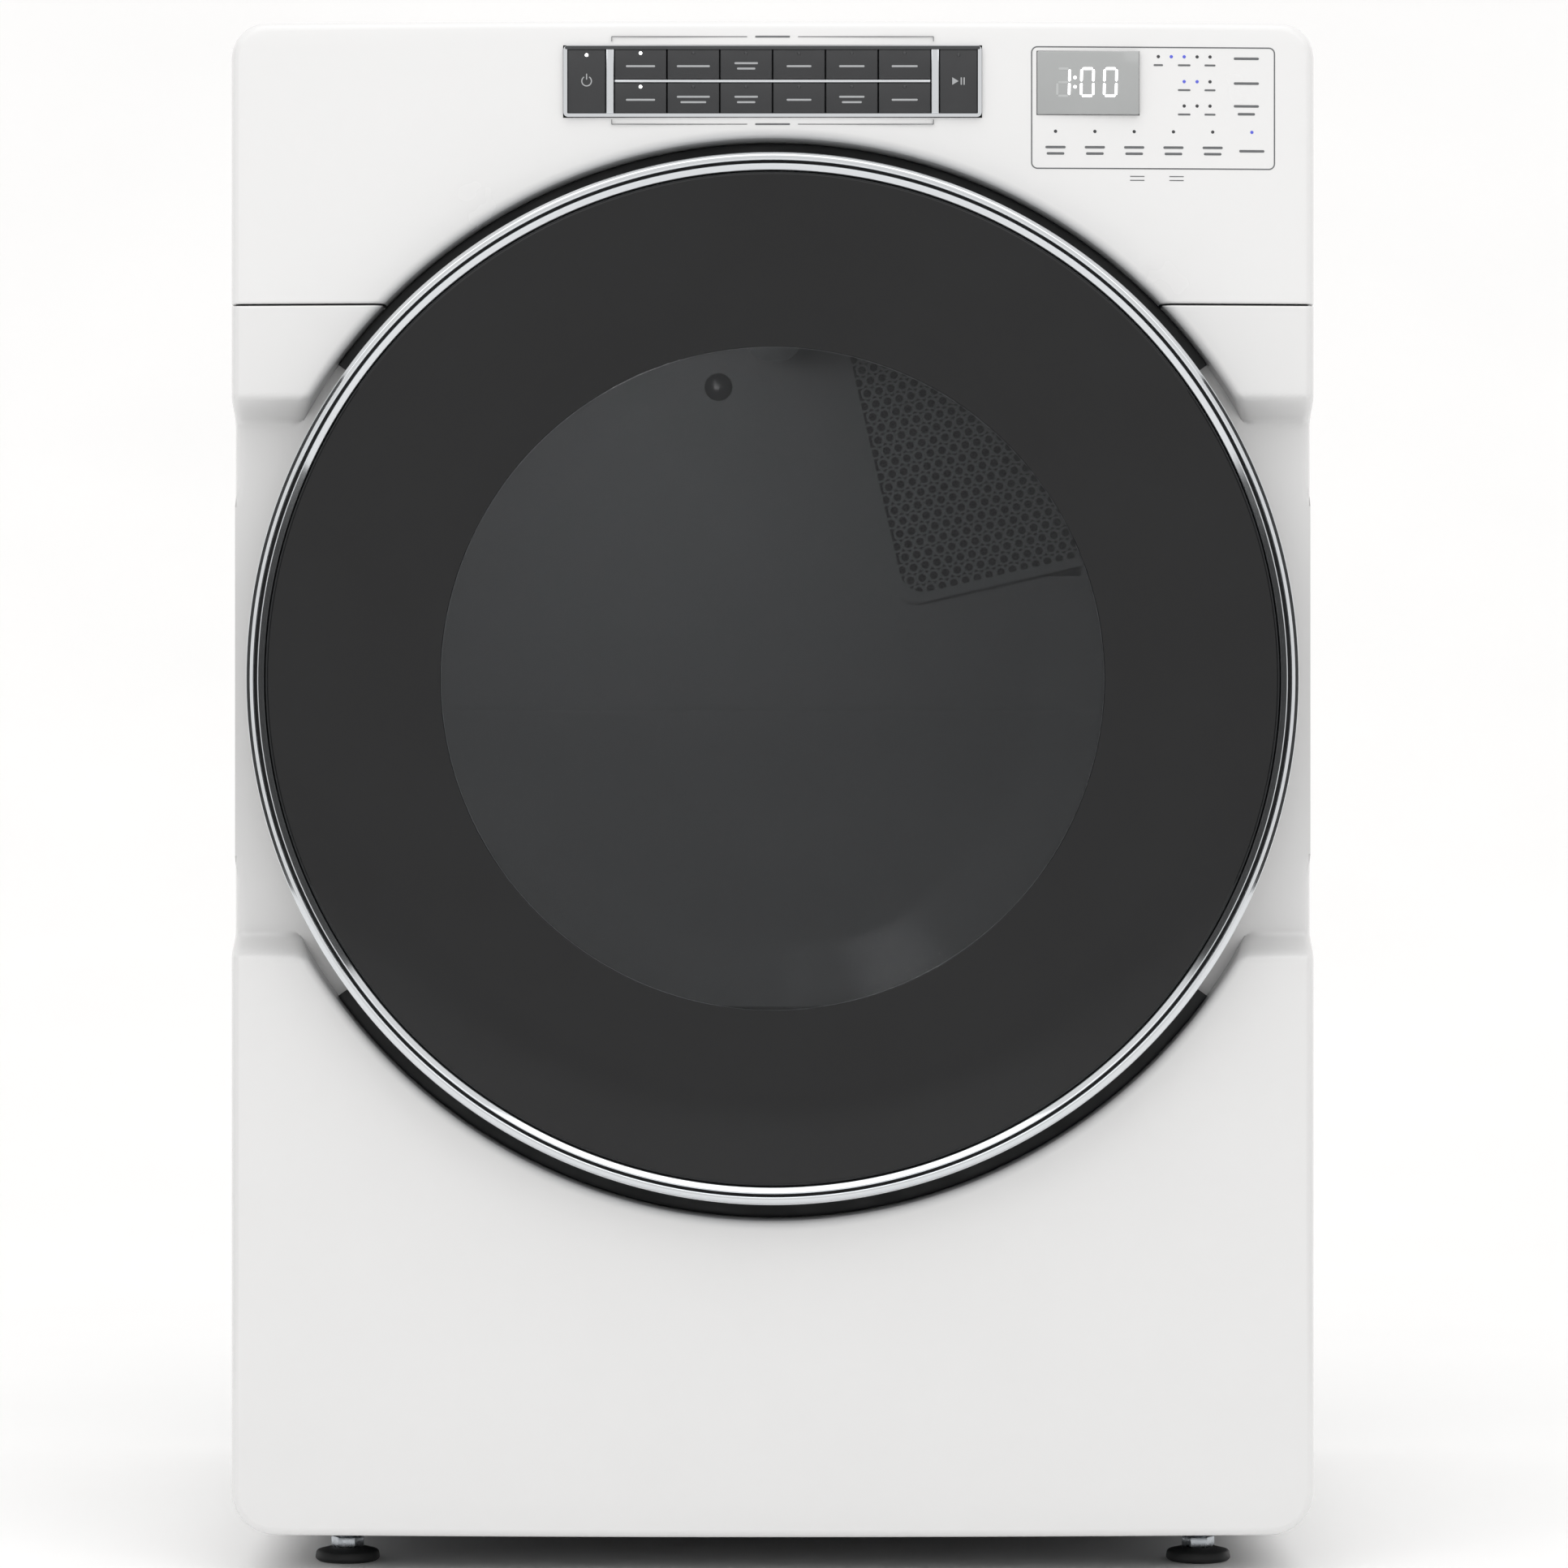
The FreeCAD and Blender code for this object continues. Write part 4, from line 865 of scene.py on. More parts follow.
class DRYER_OT_console(bpy.types.Operator):
    """Key strip frame, printing, display and touch pads"""

    bl_idname = "dryer.console"
    bl_label = "Console"

    def execute(self, context):
        self.bezel()
        self.printing()
        self.display()
        self.touch_pads(context.scene.dryer_sizes)
        return {"FINISHED"}

    def bezel(self):
        """Bright frame with a painted shadow along its top, and the bars between the keys."""
        centre = (STRIP_LOW + STRIP_HIGH) / 2
        half = (STRIP_HIGH - STRIP_LOW) / 2
        low_y, back_y = STRIP_LOW.y, STRIP_HIGH.y
        key_low, key_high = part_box("power_key")[0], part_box("start_key")[1]
        inner_x, inner_z = key_high.x + mm(0.4), (key_high.z - key_low.z) / 2 + mm(0.4)
        mesh = bmesh.new()
        outer = rounded_box_outline(centre.x, centre.z, half.x, half.z, mm(3))
        inner = rounded_box_outline(centre.x, centre.z, inner_x, inner_z, mm(0.6))
        flat_frame(mesh, outer, inner, low_y, back_y)
        power_x, first_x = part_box("power_key")[1].x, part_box("load_key_1")[0].x
        wide = abs(power_x - first_x) / 2 - mm(0.35)
        for sign in (-1, 1):
            x = sign * abs(power_x + first_x) / 2
            block(mesh, (x - wide, low_y, centre.z - inner_z),
                  (x + wide, back_y, centre.z + inner_z), mm(0.6), 3)
        block(mesh, (first_x, low_y, centre.z - mm(0.8)), (-first_x, back_y, centre.z + mm(0.8)),
              mm(0.4), 3)
        publish("strip_frame", mesh, "plated_abs", "cabinet", ["console_bezel"])
        # Painted shadow: a dark grey band printed along the top of the frame.
        band = bar_outline(centre.x, centre.z + half.z - mm(1.5), half.x - mm(1), mm(1.1))
        printed("strip_band", [band], low_y, "grey_polypropylene", "cabinet")
        # Painted shade: a near-black plate behind the keys, where the well round them is in
        # shadow.
        mesh = bmesh.new()
        block(mesh, (-inner_x, mm(-355), centre.z - inner_z),
              (inner_x, mm(-353.5), centre.z + inner_z))
        publish("strip_well", mesh, "shadow_gap", "cabinet")

    def printing(self):
        """Thin bracket lines over and under the two rows of keys."""
        x, gap, thick = mm(101.5), mm(16), mm(0.22)
        outlines = []
        for z, tick in ((STRIP_HIGH.z + mm(5.5), -1), (STRIP_LOW.z - mm(4.5), 1)):
            for sign in (-1, 1):
                outlines.append(bar_outline(sign * (x + gap) / 2, z, (x - gap) / 2, thick))
                outlines.append(bar_outline(sign * x, z + tick * mm(1.4), thick, mm(1.6)))
            outlines.append(bar_outline(0, z, mm(11), mm(0.55)))
        printed("bracket_lines", outlines, CONSOLE_Y + mm(0.3), "screen_print", "cabinet",
                depth=mm(0.5))

    def display(self):
        """Grey pane with its figures."""
        mesh = bmesh.new()
        block(mesh, PANE_LOW, PANE_HIGH, mm(0.8), 3)
        publish("display_pane", mesh, "display_acrylic", "cabinet", ["display_window"])
        z = (PANE_LOW.z + PANE_HIGH.z) / 2 + mm(0.3)
        tall, first = mm(17.2), PANE_LOW.x + mm(16.6)
        printed("display_figures", seven_segments("1:00", first, z, tall), PANE_LOW.y,
                "lamp_lit", "cabinet")
        printed("display_unlit", seven_segments("2", first, z, tall), PANE_LOW.y,
                "figure_unlit", "cabinet", depth=mm(0.08))

    def touch_pads(self, sizes):
        """Outline round the options area, its lamps, and bars that stand for their words."""
        low_x, high_x = mm(163.2), mm(318)
        low_z, high_z = mm(890.5), mm(968)
        centre_x, centre_z = (low_x + high_x) / 2, (low_z + high_z) / 2
        half_x, half_z = (high_x - low_x) / 2, (high_z - low_z) / 2
        mesh = bmesh.new()
        outer, inner = (
            divided(rounded_box_outline(centre_x, centre_z, half_x - inset, half_z - inset,
                                        mm(4) - inset), mm(6)) for inset in (0, mm(0.8)))
        flat_frame(mesh, outer, inner, 0, mm(0.4))
        for vert in mesh.verts:
            vert.co.y += console_y(vert.co.x) - PRINT_DEPTH
        publish("options_outline", mesh, "screen_print", "cabinet")

        pitch, rise = mm(8.2), mm(5.4)
        start_x, pad_x, foot_z = mm(243.8), mm(299.7), mm(914.3)
        rows = [(mm(961.8), range(5)), (mm(946.1), range(2, 5)), (mm(930.7), range(2, 5))]
        feet = [mm(178.7) + mm(24.9) * column for column in range(6)]
        dots = [(start_x + pitch * column, z) for z, columns in rows for column in columns]
        dots += [(x, foot_z) for x in feet]
        blue = [1, 2, 5, 6, len(dots) - 1]
        spots = [(x, console_y(x) + mm(0.05), z) for x, z in dots]
        for name, finish, lit in (("dark", "lamp_dark", False), ("lit", "lamp_blue", True)):
            repeat(f"option_lamps_{name}", [s for i, s in enumerate(spots) if (i in blue) == lit],
                   dome(sizes.lamp, mm(0.3)), finish, "cabinet")

        bars = []
        for row, (z, columns) in enumerate(rows):
            ends = (0, 2, 4) if row == 0 else (2, 4)
            bars += [bar_outline(start_x + pitch * column, z - rise, mm(3 + column % 3 * 0.5),
                                 mm(0.6)) for column in ends]
            double = row == 2
            bars.append(bar_outline(pad_x, z - (0 if double else mm(1)), mm(8), mm(0.8)))
            if double:
                bars.append(bar_outline(pad_x, z - mm(5), mm(5.5), mm(0.8)))
        for column, x in enumerate(feet):
            single = column == len(feet) - 1
            bars.append(bar_outline(x, foot_z - mm(12 if single else 10), mm(8 if single else 6.4),
                                    mm(0.8)))
            if not single:
                bars.append(bar_outline(x, foot_z - mm(14), mm(5.6), mm(0.8)))
        bars += [bar_outline(x, low_z - mm(drop), mm(4.6), mm(0.3))
                 for x in (feet[2] + mm(2), feet[3] + mm(2)) for drop in (4.5, 7)]
        printed("option_marks", bars, None, "screen_print", "cabinet")


# Door.


class DRYER_OT_door(bpy.types.Operator):
    """Bright ring, smoked glass with its fired border, grey liner and clear bowl"""

    bl_idname = "dryer.door"
    bl_label = "Door"

    def execute(self, context):
        self.ring()
        self.glass()
        self.liner()
        self.bowl()
        return {"FINISHED"}

    def ring(self):
        """Outer band, groove holding a painted shade ring, and inner bevel; its skirt leaves room
        for the hinge.
        """
        face, back = RING_LOW.y, RING_HIGH.y
        out, seat = RING_RADIUS, GLASS_RADIUS + mm(0.3)
        inside, notch_y = out - mm(4), mm(-374)
        mesh = bmesh.new()
        front = [(notch_y, out)]
        front += [(face + mm(y), out - mm(r)) for y, r in
                  ((2.2, 0), (0, 2.2), (0.1, 5), (3.2, 5.6), (3.2, 6.5), (0.8, 7.2))]
        front += [(face + mm(y), seat - mm(r)) for y, r in
                  ((4, 0), (8, 0), (8, 6.3), (9.7, 6.3))]
        front += [(face + mm(9.7), inside), (notch_y, inside)]
        lathe(mesh, soften(front, mm(0.9)), DOOR, steps=320)
        skirt = bmesh.new()
        half_notch = math.degrees(math.asin(mm(58) / out))
        start = notch_y - mm(0.5)
        rim = [(start, out), (back, out), (back, inside), (start, inside)]
        lathe(skirt, soften(rim, mm(0.8), 2), DOOR, steps=300, start=half_notch,
              sweep=360 - 2 * half_notch)
        merge(mesh, skirt)
        publish("door_trim", mesh, "plated_abs", "door", ["door_ring"])
        # Painted shade: a near-black ring laid in the groove, where the groove is in shadow.
        mesh = bmesh.new()
        groove = [(face + mm(y), out - mm(r)) for y, r in
                  ((2.6, 5.4), (3.3, 5.4), (3.3, 6.7), (2.6, 6.7))]
        lathe(mesh, groove, DOOR, steps=320)
        publish("door_groove", mesh, "shadow_gap", "door")

    def glass(self):
        """The clear middle of the pane, and the part that is black with enamel to its edge."""
        face, back = GLASS_LOW.y, GLASS_HIGH.y
        edge = WINDOW_RADIUS - mm(0.3)
        mesh = bmesh.new()
        lathe(mesh, soften([(face, 0), (face, edge), (back, edge), (back, 0)], mm(0.3), 2), DOOR,
              steps=256)
        publish("door_pane", mesh, "tempered_glass", "door", ["door_glass"])
        mesh = bmesh.new()
        border = [(face, WINDOW_RADIUS), (face, GLASS_RADIUS - mm(1.6)),
                  (face + mm(1.6), GLASS_RADIUS), (back, GLASS_RADIUS), (back, WINDOW_RADIUS)]
        lathe(mesh, soften(border, mm(0.5), 3), DOOR, steps=256)
        publish("glass_border", mesh, "ceramic_frit", "door")

    def liner(self):
        """Grey inner shell with its raised ring and screws."""
        low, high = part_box("door_liner")
        mesh = bmesh.new()
        out = (high.x - low.x) / 2
        front, back = low.y, high.y
        section = [(back - mm(y), mm(r)) for y, r in
                   ((0, 212), (0, 232), (3, 236), (3, 262), (0, 266), (0, 300))]
        section += [(front + mm(2.6), mm(300)), (front + mm(2.6), out), (front, out),
                    (front, mm(297))]
        section += [(back - mm(y), mm(r)) for y, r in
                    ((3, 297), (3, 270), (5.8, 264), (5.8, 234), (3, 228), (3, 212))]
        lathe(mesh, soften(section, mm(1.5), 3), DOOR, steps=256)
        publish("inner_liner", mesh, "grey_polypropylene", "door", ["door_liner"])
        screws = disc_outline(DOOR.x, DOOR.z, mm(283), 20)[1::2]
        screws = [(x, back, z) for x, z in screws]
        repeat("liner_screws", screws, screw_head(), "turned_steel", "door")

    def bowl(self):
        """Clear bowl that keeps the laundry off the glass."""
        low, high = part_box("door_bowl")
        rim = (high.x - low.x) / 2
        front, back = low.y, high.y
        section = [(front, rim), (front + mm(3), rim), (front + mm(3), mm(211)),
                   (mm(-350), mm(208))]
        section += [(back - mm(y), mm(r)) for y, r in
                    ((9, 172), (0, 150), (0, 0), (3, 0), (3, 149), (11, 169))]
        section += [(mm(-351), mm(204.6)), (front, mm(207))]
        mesh = bmesh.new()
        lathe(mesh, soften(section, mm(7), 6), DOOR, steps=192)
        publish("inner_bowl", mesh, "clear_polycarbonate", "door", ["door_bowl"])


# Drum and what is seen through the door.


def grille_frame():
    """Origin and axes of the inlet grille, which is turned a little on the rear wall."""
    c, s = math.cos(math.radians(13)), math.sin(math.radians(13))
    return Vector((mm(93), 0, DOOR.z + mm(66))), Vector((c, 0, s)), Vector((-s, 0, c))


def grille_outline(inset):
    """The grille's edge: two straight sides that meet in a round corner, closed by an arc."""
    corner, along, up = grille_frame()
    limit = mm(296) - inset
    radius, corner_steps, arc_steps = mm(18), 8, 24

    def on_arc(start, direction):
        """Where a side that starts inside the drum's circle meets it."""
        offset = Vector((start.x, start.z - DOOR.z))
        way = Vector((direction.x, direction.z))
        half = offset.dot(way)
        reach = -half + math.sqrt(half ** 2 - offset.length_squared + limit ** 2)
        return start + direction * reach

    base = corner + (along + up) * inset
    right, top = on_arc(base, along), on_arc(base, up)
    turns = [math.radians(90 * step / corner_steps) for step in range(corner_steps, -1, -1)]
    points = [base + along * radius * (1 - math.sin(turn)) + up * radius * (1 - math.cos(turn))
              for turn in turns]
    first = math.atan2(right.z - DOOR.z, right.x)
    last = math.atan2(top.z - DOOR.z, top.x)
    for step in range(arc_steps + 1):
        angle = first + (last - first) * step / arc_steps
        points.append(Vector((limit * math.cos(angle), 0, DOOR.z + limit * math.sin(angle))))
    return [(point.x, point.z) for point in points]


class DRYER_OT_drum(bpy.types.Operator):
    """Drum with its rolled beads, lifters, rear wall, inlet grille and throat"""

    bl_idname = "dryer.drum"
    bl_label = "Drum"

    def execute(self, context):
        self.shell()
        self.lifters()
        self.rear_wall()
        self.grille(context.scene.dryer_sizes.perforation)
        self.throat()
        return {"FINISHED"}

    def shell(self):
        """Rolled sheet with shallow inward beads, and a curled rim at each end."""
        low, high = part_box("drum")
        rim = (high.x - low.x) / 2
        outer, inner = mm(322.2), mm(321)
        bead = mm(1.9)
        outside, inside = [], []
        for at in (-200, -150, -100, -50, 60, 110, 160, 210):
            for shift, depth in ((-7, 0), (-4, 0.5), (-1.5, 1), (1.5, 1), (4, 0.5), (7, 0)):
                y = mm(at + shift)
                outside.append((y, outer - bead * depth))
                inside.append((y, inner - bead * depth))
        front, back = low.y + mm(5), high.y - mm(5)
        profile = [(front, outer), *outside, (back, outer), (back, rim), (high.y, rim),
                   (high.y, inner), *inside[::-1], (low.y, inner), (low.y, rim), (front, rim)]
        mesh = bmesh.new()
        lathe(mesh, profile, DOOR, steps=180)
        publish("drum_shell", mesh, "brushed_stainless", "drum_body", ["drum"],
                sharp=50)

    def lifters(self):
        """Three hollow-looking lifters with sloped ends."""
        seat, slope, stations = mm(317.4), mm(42), 18
        front, back = mm(-232), mm(287)
        section = soften([(mm(x), mm(height)) for x, height in
                          ((-44, 0.1), (-17, 66), (-9, 72), (9, 72), (17, 66), (44, 0.1))], mm(12))
        mesh = bmesh.new()
        for number in range(3):
            turn = Matrix.Rotation(math.radians(120 * number + 60), 3, "Y")
            rows = []
            for step in range(stations + 1):
                y = front + (back - front) * ease(step / stations)
                edge = min(y - front, back - y)
                rise = max(0.02, math.sqrt(ease(edge / slope)))
                row = []
                for x, height in section:
                    spot = Vector((x * (0.82 + 0.18 * rise), y, -seat + height * rise))
                    row.append(mesh.verts.new(DOOR_AXIS + turn @ spot))
                rows.append(row)
            for this, following in zip(rows, rows[1:]):
                for i in range(len(section)):
                    j = (i + 1) % len(section)
                    mesh.faces.new((this[i], this[j], following[j], following[i]))
            mesh.faces.new(rows[0])
            mesh.faces.new(rows[-1][::-1])
        outwards(mesh)
        publish("lifter_set", mesh, "pale_polypropylene", "drum_body", ["drum_baffles"])

    def rear_wall(self):
        """Pressed ring round the edge of the rear wall."""
        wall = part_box("rear_bulkhead")[1].y - mm(1)
        mesh = bmesh.new()
        radius = mm(304)
        bead = [(wall - mm(y), radius + mm(r)) for y, r in
                ((0, -6), (2.5, -2.5), (2.5, 2.5), (0, 6))]
        lathe(mesh, soften(bead, mm(2), 3), DOOR, steps=160)
        publish("rear_beads", mesh, "powder_coat", "cabinet")

    def grille(self, pitch):
        """Perforated sheet over the heater's outlet, in a raised border."""
        low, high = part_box("inlet_grille")
        # Painted shade: a near-black plate behind the perforations, where the outlet behind them
        # is unlit.
        mesh = bmesh.new()
        slab(mesh, grille_outline(0), low.y + mm(0.5), high.y, mm(0.3))
        publish("grille_back", mesh, "shadow_gap", "cabinet", ["inlet_grille"])
        mesh = bmesh.new()
        flat_frame(mesh, grille_outline(0), grille_outline(mm(7)), low.y - mm(1.8),
                   low.y + mm(0.6))
        publish("grille_border", mesh, "powder_coat", "cabinet")
        corner, along, up = grille_frame()
        hole = pitch * 0.33
        unit = bmesh.new()
        outer_ring, inner_ring = [], []
        sides = 12
        for c, s in disc_outline(0, 0, 1, sides):
            reach = pitch / 2 / max(abs(c), abs(s))
            outer_ring.append(unit.verts.new(along * reach * c + up * reach * s))
            inner_ring.append(unit.verts.new(along * hole * c + up * hole * s))
        for i in range(sides):
            j = (i + 1) % sides
            unit.faces.new((outer_ring[i], outer_ring[j], inner_ring[j], inner_ring[i]))
        outwards(unit)
        if unit.faces[:][0].normal.y > 0:
            bmesh.ops.reverse_faces(unit, faces=unit.faces)
        limit, first = mm(291) - pitch * 0.6, mm(9)
        spots = []
        for row in range(30):
            for column in range(32):
                shift = pitch * (column + row % 2 / 2)
                spot = corner + along * (first + shift) + up * (first + pitch * row)
                if math.hypot(spot.x, spot.z - DOOR.z) < limit and (row or column):
                    spots.append((spot.x, low.y - mm(0.4), spot.z))
        repeat("grille_holes", spots, unit, "powder_coat", "cabinet")

    def throat(self):
        """Bulb seal, drum lamp and moisture bars round the mouth of the drum."""
        low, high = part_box("door_seal")
        inner, outer = mm(226), mm(238)
        mesh = bmesh.new()
        bulb = [(high.y, inner + mm(1)), (high.y - mm(4), inner), (low.y + mm(3), inner),
                (low.y, inner + mm(4)), (low.y, outer - mm(4)), (low.y + mm(3), outer),
                (high.y - mm(5), outer - mm(0.5)), (high.y - mm(4), outer - mm(3)),
                (high.y, outer - mm(2))]
        lathe(mesh, soften(bulb, mm(3), 4), DOOR, steps=200)
        publish("bulb_seal", mesh, "epdm_rubber", "cabinet", ["door_seal"])
        mesh = bmesh.new()
        for y in (-330, -316):
            bar = bmesh.new()
            strip = [(mm(y), mm(225.2)), (mm(y), mm(223.6)), (mm(y + 8), mm(223.6)),
                     (mm(y + 8), mm(225.2))]
            lathe(bar, soften(strip, mm(0.5), 2), DOOR, steps=24, start=228, sweep=12)
            merge(mesh, bar)
        publish("moisture_bars", mesh, "turned_steel", "cabinet")
        repeat("drum_lamp_lens", [(mm(-42), mm(319), DOOR.z + mm(232))], dome(mm(11), mm(5)),
               "lamp_dark", "cabinet")


class DRYER_OT_filter(bpy.types.Operator):
    """Lint filter with its woven screen and ribs"""

    bl_idname = "dryer.filter"
    bl_label = "Lint filter"

    def execute(self, context):
        low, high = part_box("lint_filter")
        mesh = bmesh.new()
        for i in range(7):
            x = low.x + mm(10) + (high.x - low.x - mm(20)) * i / 6
            block(mesh, (x - mm(1.2), low.y + mm(2.2), low.z + mm(8)),
                  (x + mm(1.2), low.y + mm(3.4), high.z - mm(16)), mm(0.4))
        for i in range(5):
            z = low.z + mm(12) + mm(36) * i
            block(mesh, (low.x + mm(8), low.y + mm(2.2), z - mm(1.2)),
                  (high.x - mm(8), low.y + mm(3.3), z + mm(1.2)), mm(0.4))
        publish("filter_ribs", mesh, "dark_polypropylene", "filter")
        mesh = bmesh.new()
        block(mesh, (low.x + mm(6), low.y + mm(3.5), low.z + mm(6)),
              (high.x - mm(6), low.y + mm(3.9), high.z - mm(14)), mm(0.15))
        publish("filter_screen", mesh, "filter_mesh", "filter")
        mesh = bmesh.new()
        for i in range(9):
            x = mm(-48) + mm(12) * i
            block(mesh, (x - mm(1.5), low.y - mm(0.6), high.z - mm(10)),
                  (x + mm(1.5), low.y + mm(0.3), high.z - mm(2)), mm(0.5))
        publish("filter_grip_ribs", mesh, "dark_polypropylene", "filter")
        return {"FINISHED"}


# Cabinet.


def louvre(width, height, depth):
    """A pressed hood that faces +Y, open at its lower edge."""
    shape = bmesh.new()
    rows = []
    for step in range(7):
        turn = math.radians(90 * step / 6)
        z = height * (0.5 - math.sin(turn) * 0.9)
        y = depth * (1 - math.cos(turn)) if step else 0.0
        rows.append([shape.verts.new((x, y if abs(x) < width * 0.46 else 0, z))
                     for x in (-width / 2, -width * 0.45, -width * 0.2, width * 0.2, width * 0.45,
                               width / 2)])
    for this, following in zip(rows, rows[1:]):
        for i in range(5):
            shape.faces.new((this[i + 1], this[i], following[i], following[i + 1]))
    outwards(shape)
    return shape


class DRYER_OT_cabinet(bpy.types.Operator):
    """Louvres, pressed ribs and screws of the back, and the feet"""

    bl_idname = "dryer.cabinet"
    bl_label = "Cabinet"

    def execute(self, context):
        self.back()
        self.collar()
        self.feet()
        return {"FINISHED"}

    def back(self):
        """Louvres, screws and pressed ribs of the back, and the ring of the power inlet."""
        low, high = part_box("back_panel")
        y = high.y
        spots = [(mm(x + 44 * column), y, mm(z + 15 * row))
                 for x, z, columns, rows in ((-110, 560, 6, 12), (150, 180, 3, 8))
                 for column in range(columns) for row in range(rows)]
        repeat("back_louvres", spots, louvre(mm(34), mm(9), mm(4)), "galvanised_steel",
               "cabinet")
        edge_x, first, last = high.x - mm(9), low.z + mm(34), high.z - mm(34)
        large = 1.2
        screws = [(side * edge_x, y, first + (last - first) * i / 6, large)
                  for side in (-1, 1) for i in range(7)]
        screws += [(mm(-250 + 125 * i), y, high.z - mm(12), large) for i in range(5)]
        screws += [(mm(x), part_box("terminal_cover")[1].y, mm(941)) for x in (-266, -209)]
        repeat("back_screws", screws, screw_head(), "turned_steel", "cabinet")
        mesh = bmesh.new()
        for x, z, half_x, half_z in ((-200, 500, 5, 280), (200, 620, 5, 190), (0, 800, 150, 5),
                                     (0, 480, 150, 5), (0, 250, 150, 5)):
            slab(mesh, rounded_box_outline(mm(x), mm(z), mm(half_x), mm(half_z), mm(4.9)), y,
                 y + mm(1.8), mm(1.2), 3)
        publish("back_ribs", mesh, "galvanised_steel", "cabinet")
        mesh = bmesh.new()
        ring = [(y, mm(14.6)), (y, mm(19)), (y + mm(1.5), mm(19)), (y + mm(1.5), mm(14.6))]
        lathe(mesh, soften(ring, mm(0.6), 2), Vector((mm(-230), 0, mm(900))), steps=48)
        publish("inlet_ring", mesh, "turned_steel", "cabinet")

    def collar(self):
        """Flange where the exhaust leaves the back."""
        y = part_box("back_panel")[1].y
        mesh = bmesh.new()
        ring = [(y + mm(out), mm(radius)) for out, radius in
                ((0.1, 51), (0.1, 62), (1.4, 62), (2.2, 54), (2.2, 51))]
        lathe(mesh, soften(ring, mm(0.8), 3), middle("exhaust_duct"), steps=96)
        publish("exhaust_flange", mesh, "galvanised_steel", "cabinet")

    def feet(self):
        """Rubber pads on threaded studs with their lock nuts."""
        for place in ("front_left", "front_right", "rear_left", "rear_right"):
            node = f"foot_{place}"
            high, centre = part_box(node)[1], middle(node)
            body = f"{node}_body"
            pad = [(mm(z), mm(radius)) for z, radius in
                   ((0, 0), (0, 18.5), (2, 21), (7, 20), (9, 12), (9, 0))]
            mesh = bmesh.new()
            lathe(mesh, soften(pad, mm(1.5), 3), ORIGIN, steps=48)
            self.upright(mesh, centre)
            publish(f"{node}_pad", mesh, "epdm_rubber", body, [node])
            turns = 26
            pitch = (high.z - mm(10)) / turns
            stud = [(mm(8.5), 0)]
            for i in range(turns):
                z = mm(9) + pitch * i
                stud += [(z, mm(4.2)), (z + pitch / 2, mm(5))]
            stud += [(high.z, mm(4)), (high.z, 0)]
            mesh = bmesh.new()
            lathe(mesh, stud, ORIGIN, steps=20)
            self.upright(mesh, centre)
            nut = bmesh.new()
            slab(nut, disc_outline(centre.x, centre.y, mm(10.5), 6), mm(9), mm(16), mm(0.8))
            for vert in nut.verts:
                vert.co = vert.co.xzy
            outwards(nut)
            merge(mesh, nut)
            publish(f"{node}_stud", mesh, "turned_steel", body)

    def upright(self, mesh, centre):
        """Stand a shape that was turned about Y upright at a foot."""
        for vert in mesh.verts:
            vert.co = Vector((centre.x + vert.co.x, centre.y + vert.co.z, vert.co.y))
        outwards(mesh)


# Stage.


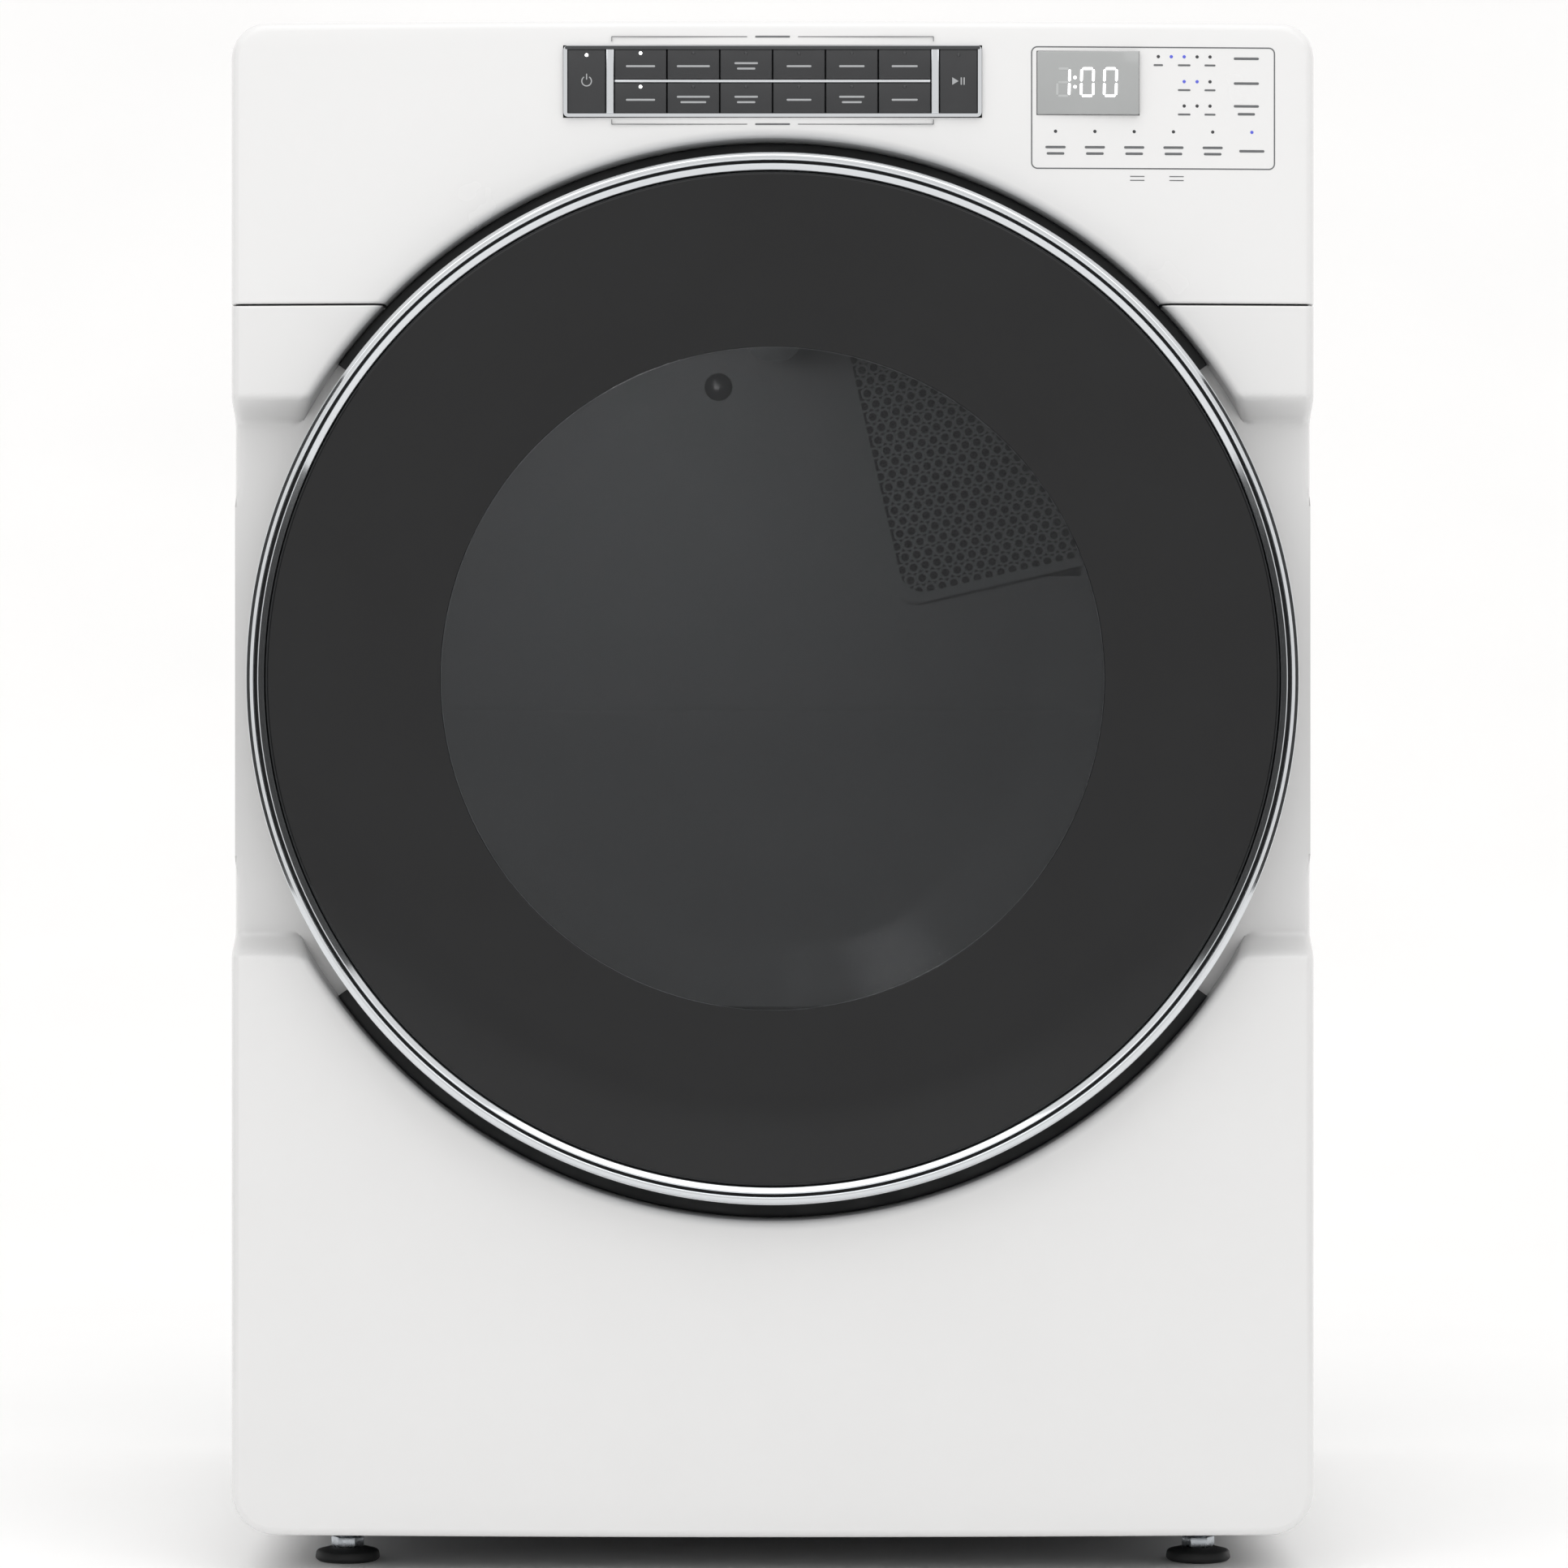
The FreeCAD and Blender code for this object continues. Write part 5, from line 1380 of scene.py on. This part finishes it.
class DRYER_OT_stage(bpy.types.Operator):
    """Pale floor and backdrop, soft studio light and the camera"""

    bl_idname = "dryer.stage"
    bl_label = "Stage"

    def execute(self, context):
        scene = context.scene
        scene.view_settings.view_transform = "Standard"
        self.sweep()
        self.flags()
        self.camera(scene)
        self.lights(scene)
        return {"FINISHED"}

    def sweep(self):
        """Floor that curves up behind into a backdrop."""
        mesh = bmesh.new()
        width, front, wall, height, bend, steps = 22, -30, 6, 12, 4, 24
        turns = [math.radians(90 * step / steps) for step in range(1, steps + 1)]
        profile = [(front, 0), (wall - bend, 0)]
        profile += [(wall - bend + bend * math.sin(turn), bend - bend * math.cos(turn))
                    for turn in turns]
        profile.append((wall, height))
        rows = [[mesh.verts.new((x, y, z)) for y, z in profile] for x in (-width, width)]
        for i in range(len(profile) - 1):
            mesh.faces.new((rows[0][i], rows[1][i], rows[1][i + 1], rows[0][i + 1]))
        for face in mesh.faces:
            face.smooth = True
        piece("paper_sweep", mesh, "seamless_paper")

    def flags(self):
        """Grey boards beside the door, which its bright ring mirrors."""
        for side in (-1, 1):
            mesh = bmesh.new()
            block(mesh, (side * 1.3 - 0.01, -2.3, 0.02), (side * 1.3 + 0.01, -0.1, 1.5), mm(2), 1)
            flag = piece("flag", mesh, "grey_board")
            flag.visible_camera = flag.visible_diffuse = flag.visible_shadow = False

    def camera(self, scene):
        """Straight on, from the height of the door, with the dryer filling the frame."""
        distance, shown, sensor = 3.6, mm(989.5), 36
        aim_z = (PANEL_LOW.z + HIGH.z) / 2 - mm(3)
        lens = bpy.data.cameras.new("view")
        lens.sensor_width = sensor
        lens.lens = sensor * distance / shown
        viewer = bpy.data.objects.new("view", lens)
        viewer.location = (mm(7.2), CONSOLE_Y - distance, aim_z)
        viewer.rotation_euler = (math.radians(90), 0, 0)
        scene.collection.objects.link(viewer)
        scene.camera = viewer

    def lights(self, scene):
        world = bpy.data.worlds.new("studio")
        world.use_nodes = True
        background = world.node_tree.nodes["Background"]
        background.inputs["Color"].default_value = linear("#FFFEFD")
        background.inputs["Strength"].default_value = 0.96
        scene.world = world
        # Name, place, aim, width, height and watts of each soft panel.
        panels = [
            ("overhead", (0, -1.6, 3.6), (0, -0.5, 0.6), 3.4, 2.4, 30),
            ("left_front", (-2.2, -4.4, 3.4), (0, -0.3, 0.6), 2.0, 2.0, 14),
            ("right_front", (2.2, -4.4, 3.4), (0, -0.3, 0.6), 2.0, 2.0, 12),
        ]
        for name, place, target, wide, tall, power in panels:
            lamp = bpy.data.lights.new(name, "AREA")
            lamp.shape = "RECTANGLE"
            lamp.size, lamp.size_y = wide, tall
            lamp.energy = power
            holder = bpy.data.objects.new(name, lamp)
            holder.location = place
            facing = Vector(target) - Vector(place)
            holder.rotation_euler = facing.to_track_quat("-Z", "Y").to_euler()
            scene.collection.objects.link(holder)
        drum_lamp = bpy.data.lights.new("drum_glow", "POINT")
        drum_lamp.energy = 2.2
        drum_lamp.shadow_soft_size = 0.04
        holder = bpy.data.objects.new("drum_glow", drum_lamp)
        holder.location = (-0.1, -0.1, DOOR.z + 0.24)
        scene.collection.objects.link(holder)


# Frame parts whose shape is right take their finish here.

NODE_FINISH = {
    "baked_enamel": ["side_panel_left", "side_panel_right", "top_panel", "terminal_cover"],
    "powder_coat": ["rear_bulkhead"],
    "galvanised_steel": ["back_panel", "front_bulkhead", "heater_box"],
    "turned_steel": ["door_strike", "door_hinge_leaf", "hinge_bracket", "hinge_pin",
                     "roller_shafts", "motor_shaft", "idler_arm"],
    "dark_polypropylene": ["door_catch", "blower_wheel", "blower_housing", "lint_chute",
                           "lint_filter", "idler_pulley"],
    "epdm_rubber": ["drum_roller_left", "drum_roller_right", "drum_belt"],
    "wool_felt": ["drum_seals"],
    # The base pan takes this dark grey as painted shade under the cabinet.
    "motor_paint": ["drive_motor", "base_pan"],
    "solder_mask": ["control_board"],
    "drawn_aluminium": ["exhaust_duct"],
}


class DRYER_OT_finishes(bpy.types.Operator):
    """Finish of every frame part that is shown as it is"""

    bl_idname = "dryer.finishes"
    bl_label = "Finishes"

    def execute(self, context):
        for finish, names in NODE_FINISH.items():
            for name in names:
                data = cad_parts[name].data
                data.materials.clear()
                data.materials.append(finish_of(finish))
        return {"FINISHED"}


OPERATORS = [DRYER_OT_stage, DRYER_OT_finishes, DRYER_OT_front, DRYER_OT_keys, DRYER_OT_console,
             DRYER_OT_door, DRYER_OT_drum, DRYER_OT_filter, DRYER_OT_cabinet]


class DRYER_PT_panel(bpy.types.Panel):
    """Sidebar list of the dryer's pieces and finishes"""

    bl_idname = "DRYER_PT_panel"
    bl_label = "Clothes dryer"
    bl_space_type = "VIEW_3D"
    bl_region_type = "UI"
    bl_category = "Dryer"

    def draw(self, context):
        for operator in OPERATORS:
            self.layout.operator(operator.bl_idname)
        for group in (context.scene.dryer_sizes, context.scene.dryer_finish):
            for name in group.bl_rna.properties.keys():
                if name not in ("rna_type", "name"):
                    self.layout.prop(group, name)


CLASSES = [DryerSizes, DryerFinish, *OPERATORS, DRYER_PT_panel]


def register():
    for item in CLASSES:
        bpy.utils.register_class(item)
    bpy.types.Scene.dryer_sizes = bpy.props.PointerProperty(type=DryerSizes)
    bpy.types.Scene.dryer_finish = bpy.props.PointerProperty(type=DryerFinish)


def unregister():
    del bpy.types.Scene.dryer_sizes
    del bpy.types.Scene.dryer_finish
    for item in reversed(CLASSES):
        bpy.utils.unregister_class(item)


def main():
    """Register, and make every piece in order."""
    register()
    for operator in OPERATORS:
        group, name = operator.bl_idname.split(".")
        getattr(getattr(bpy.ops, group), name)()


if __name__ == "__main__":
    main()
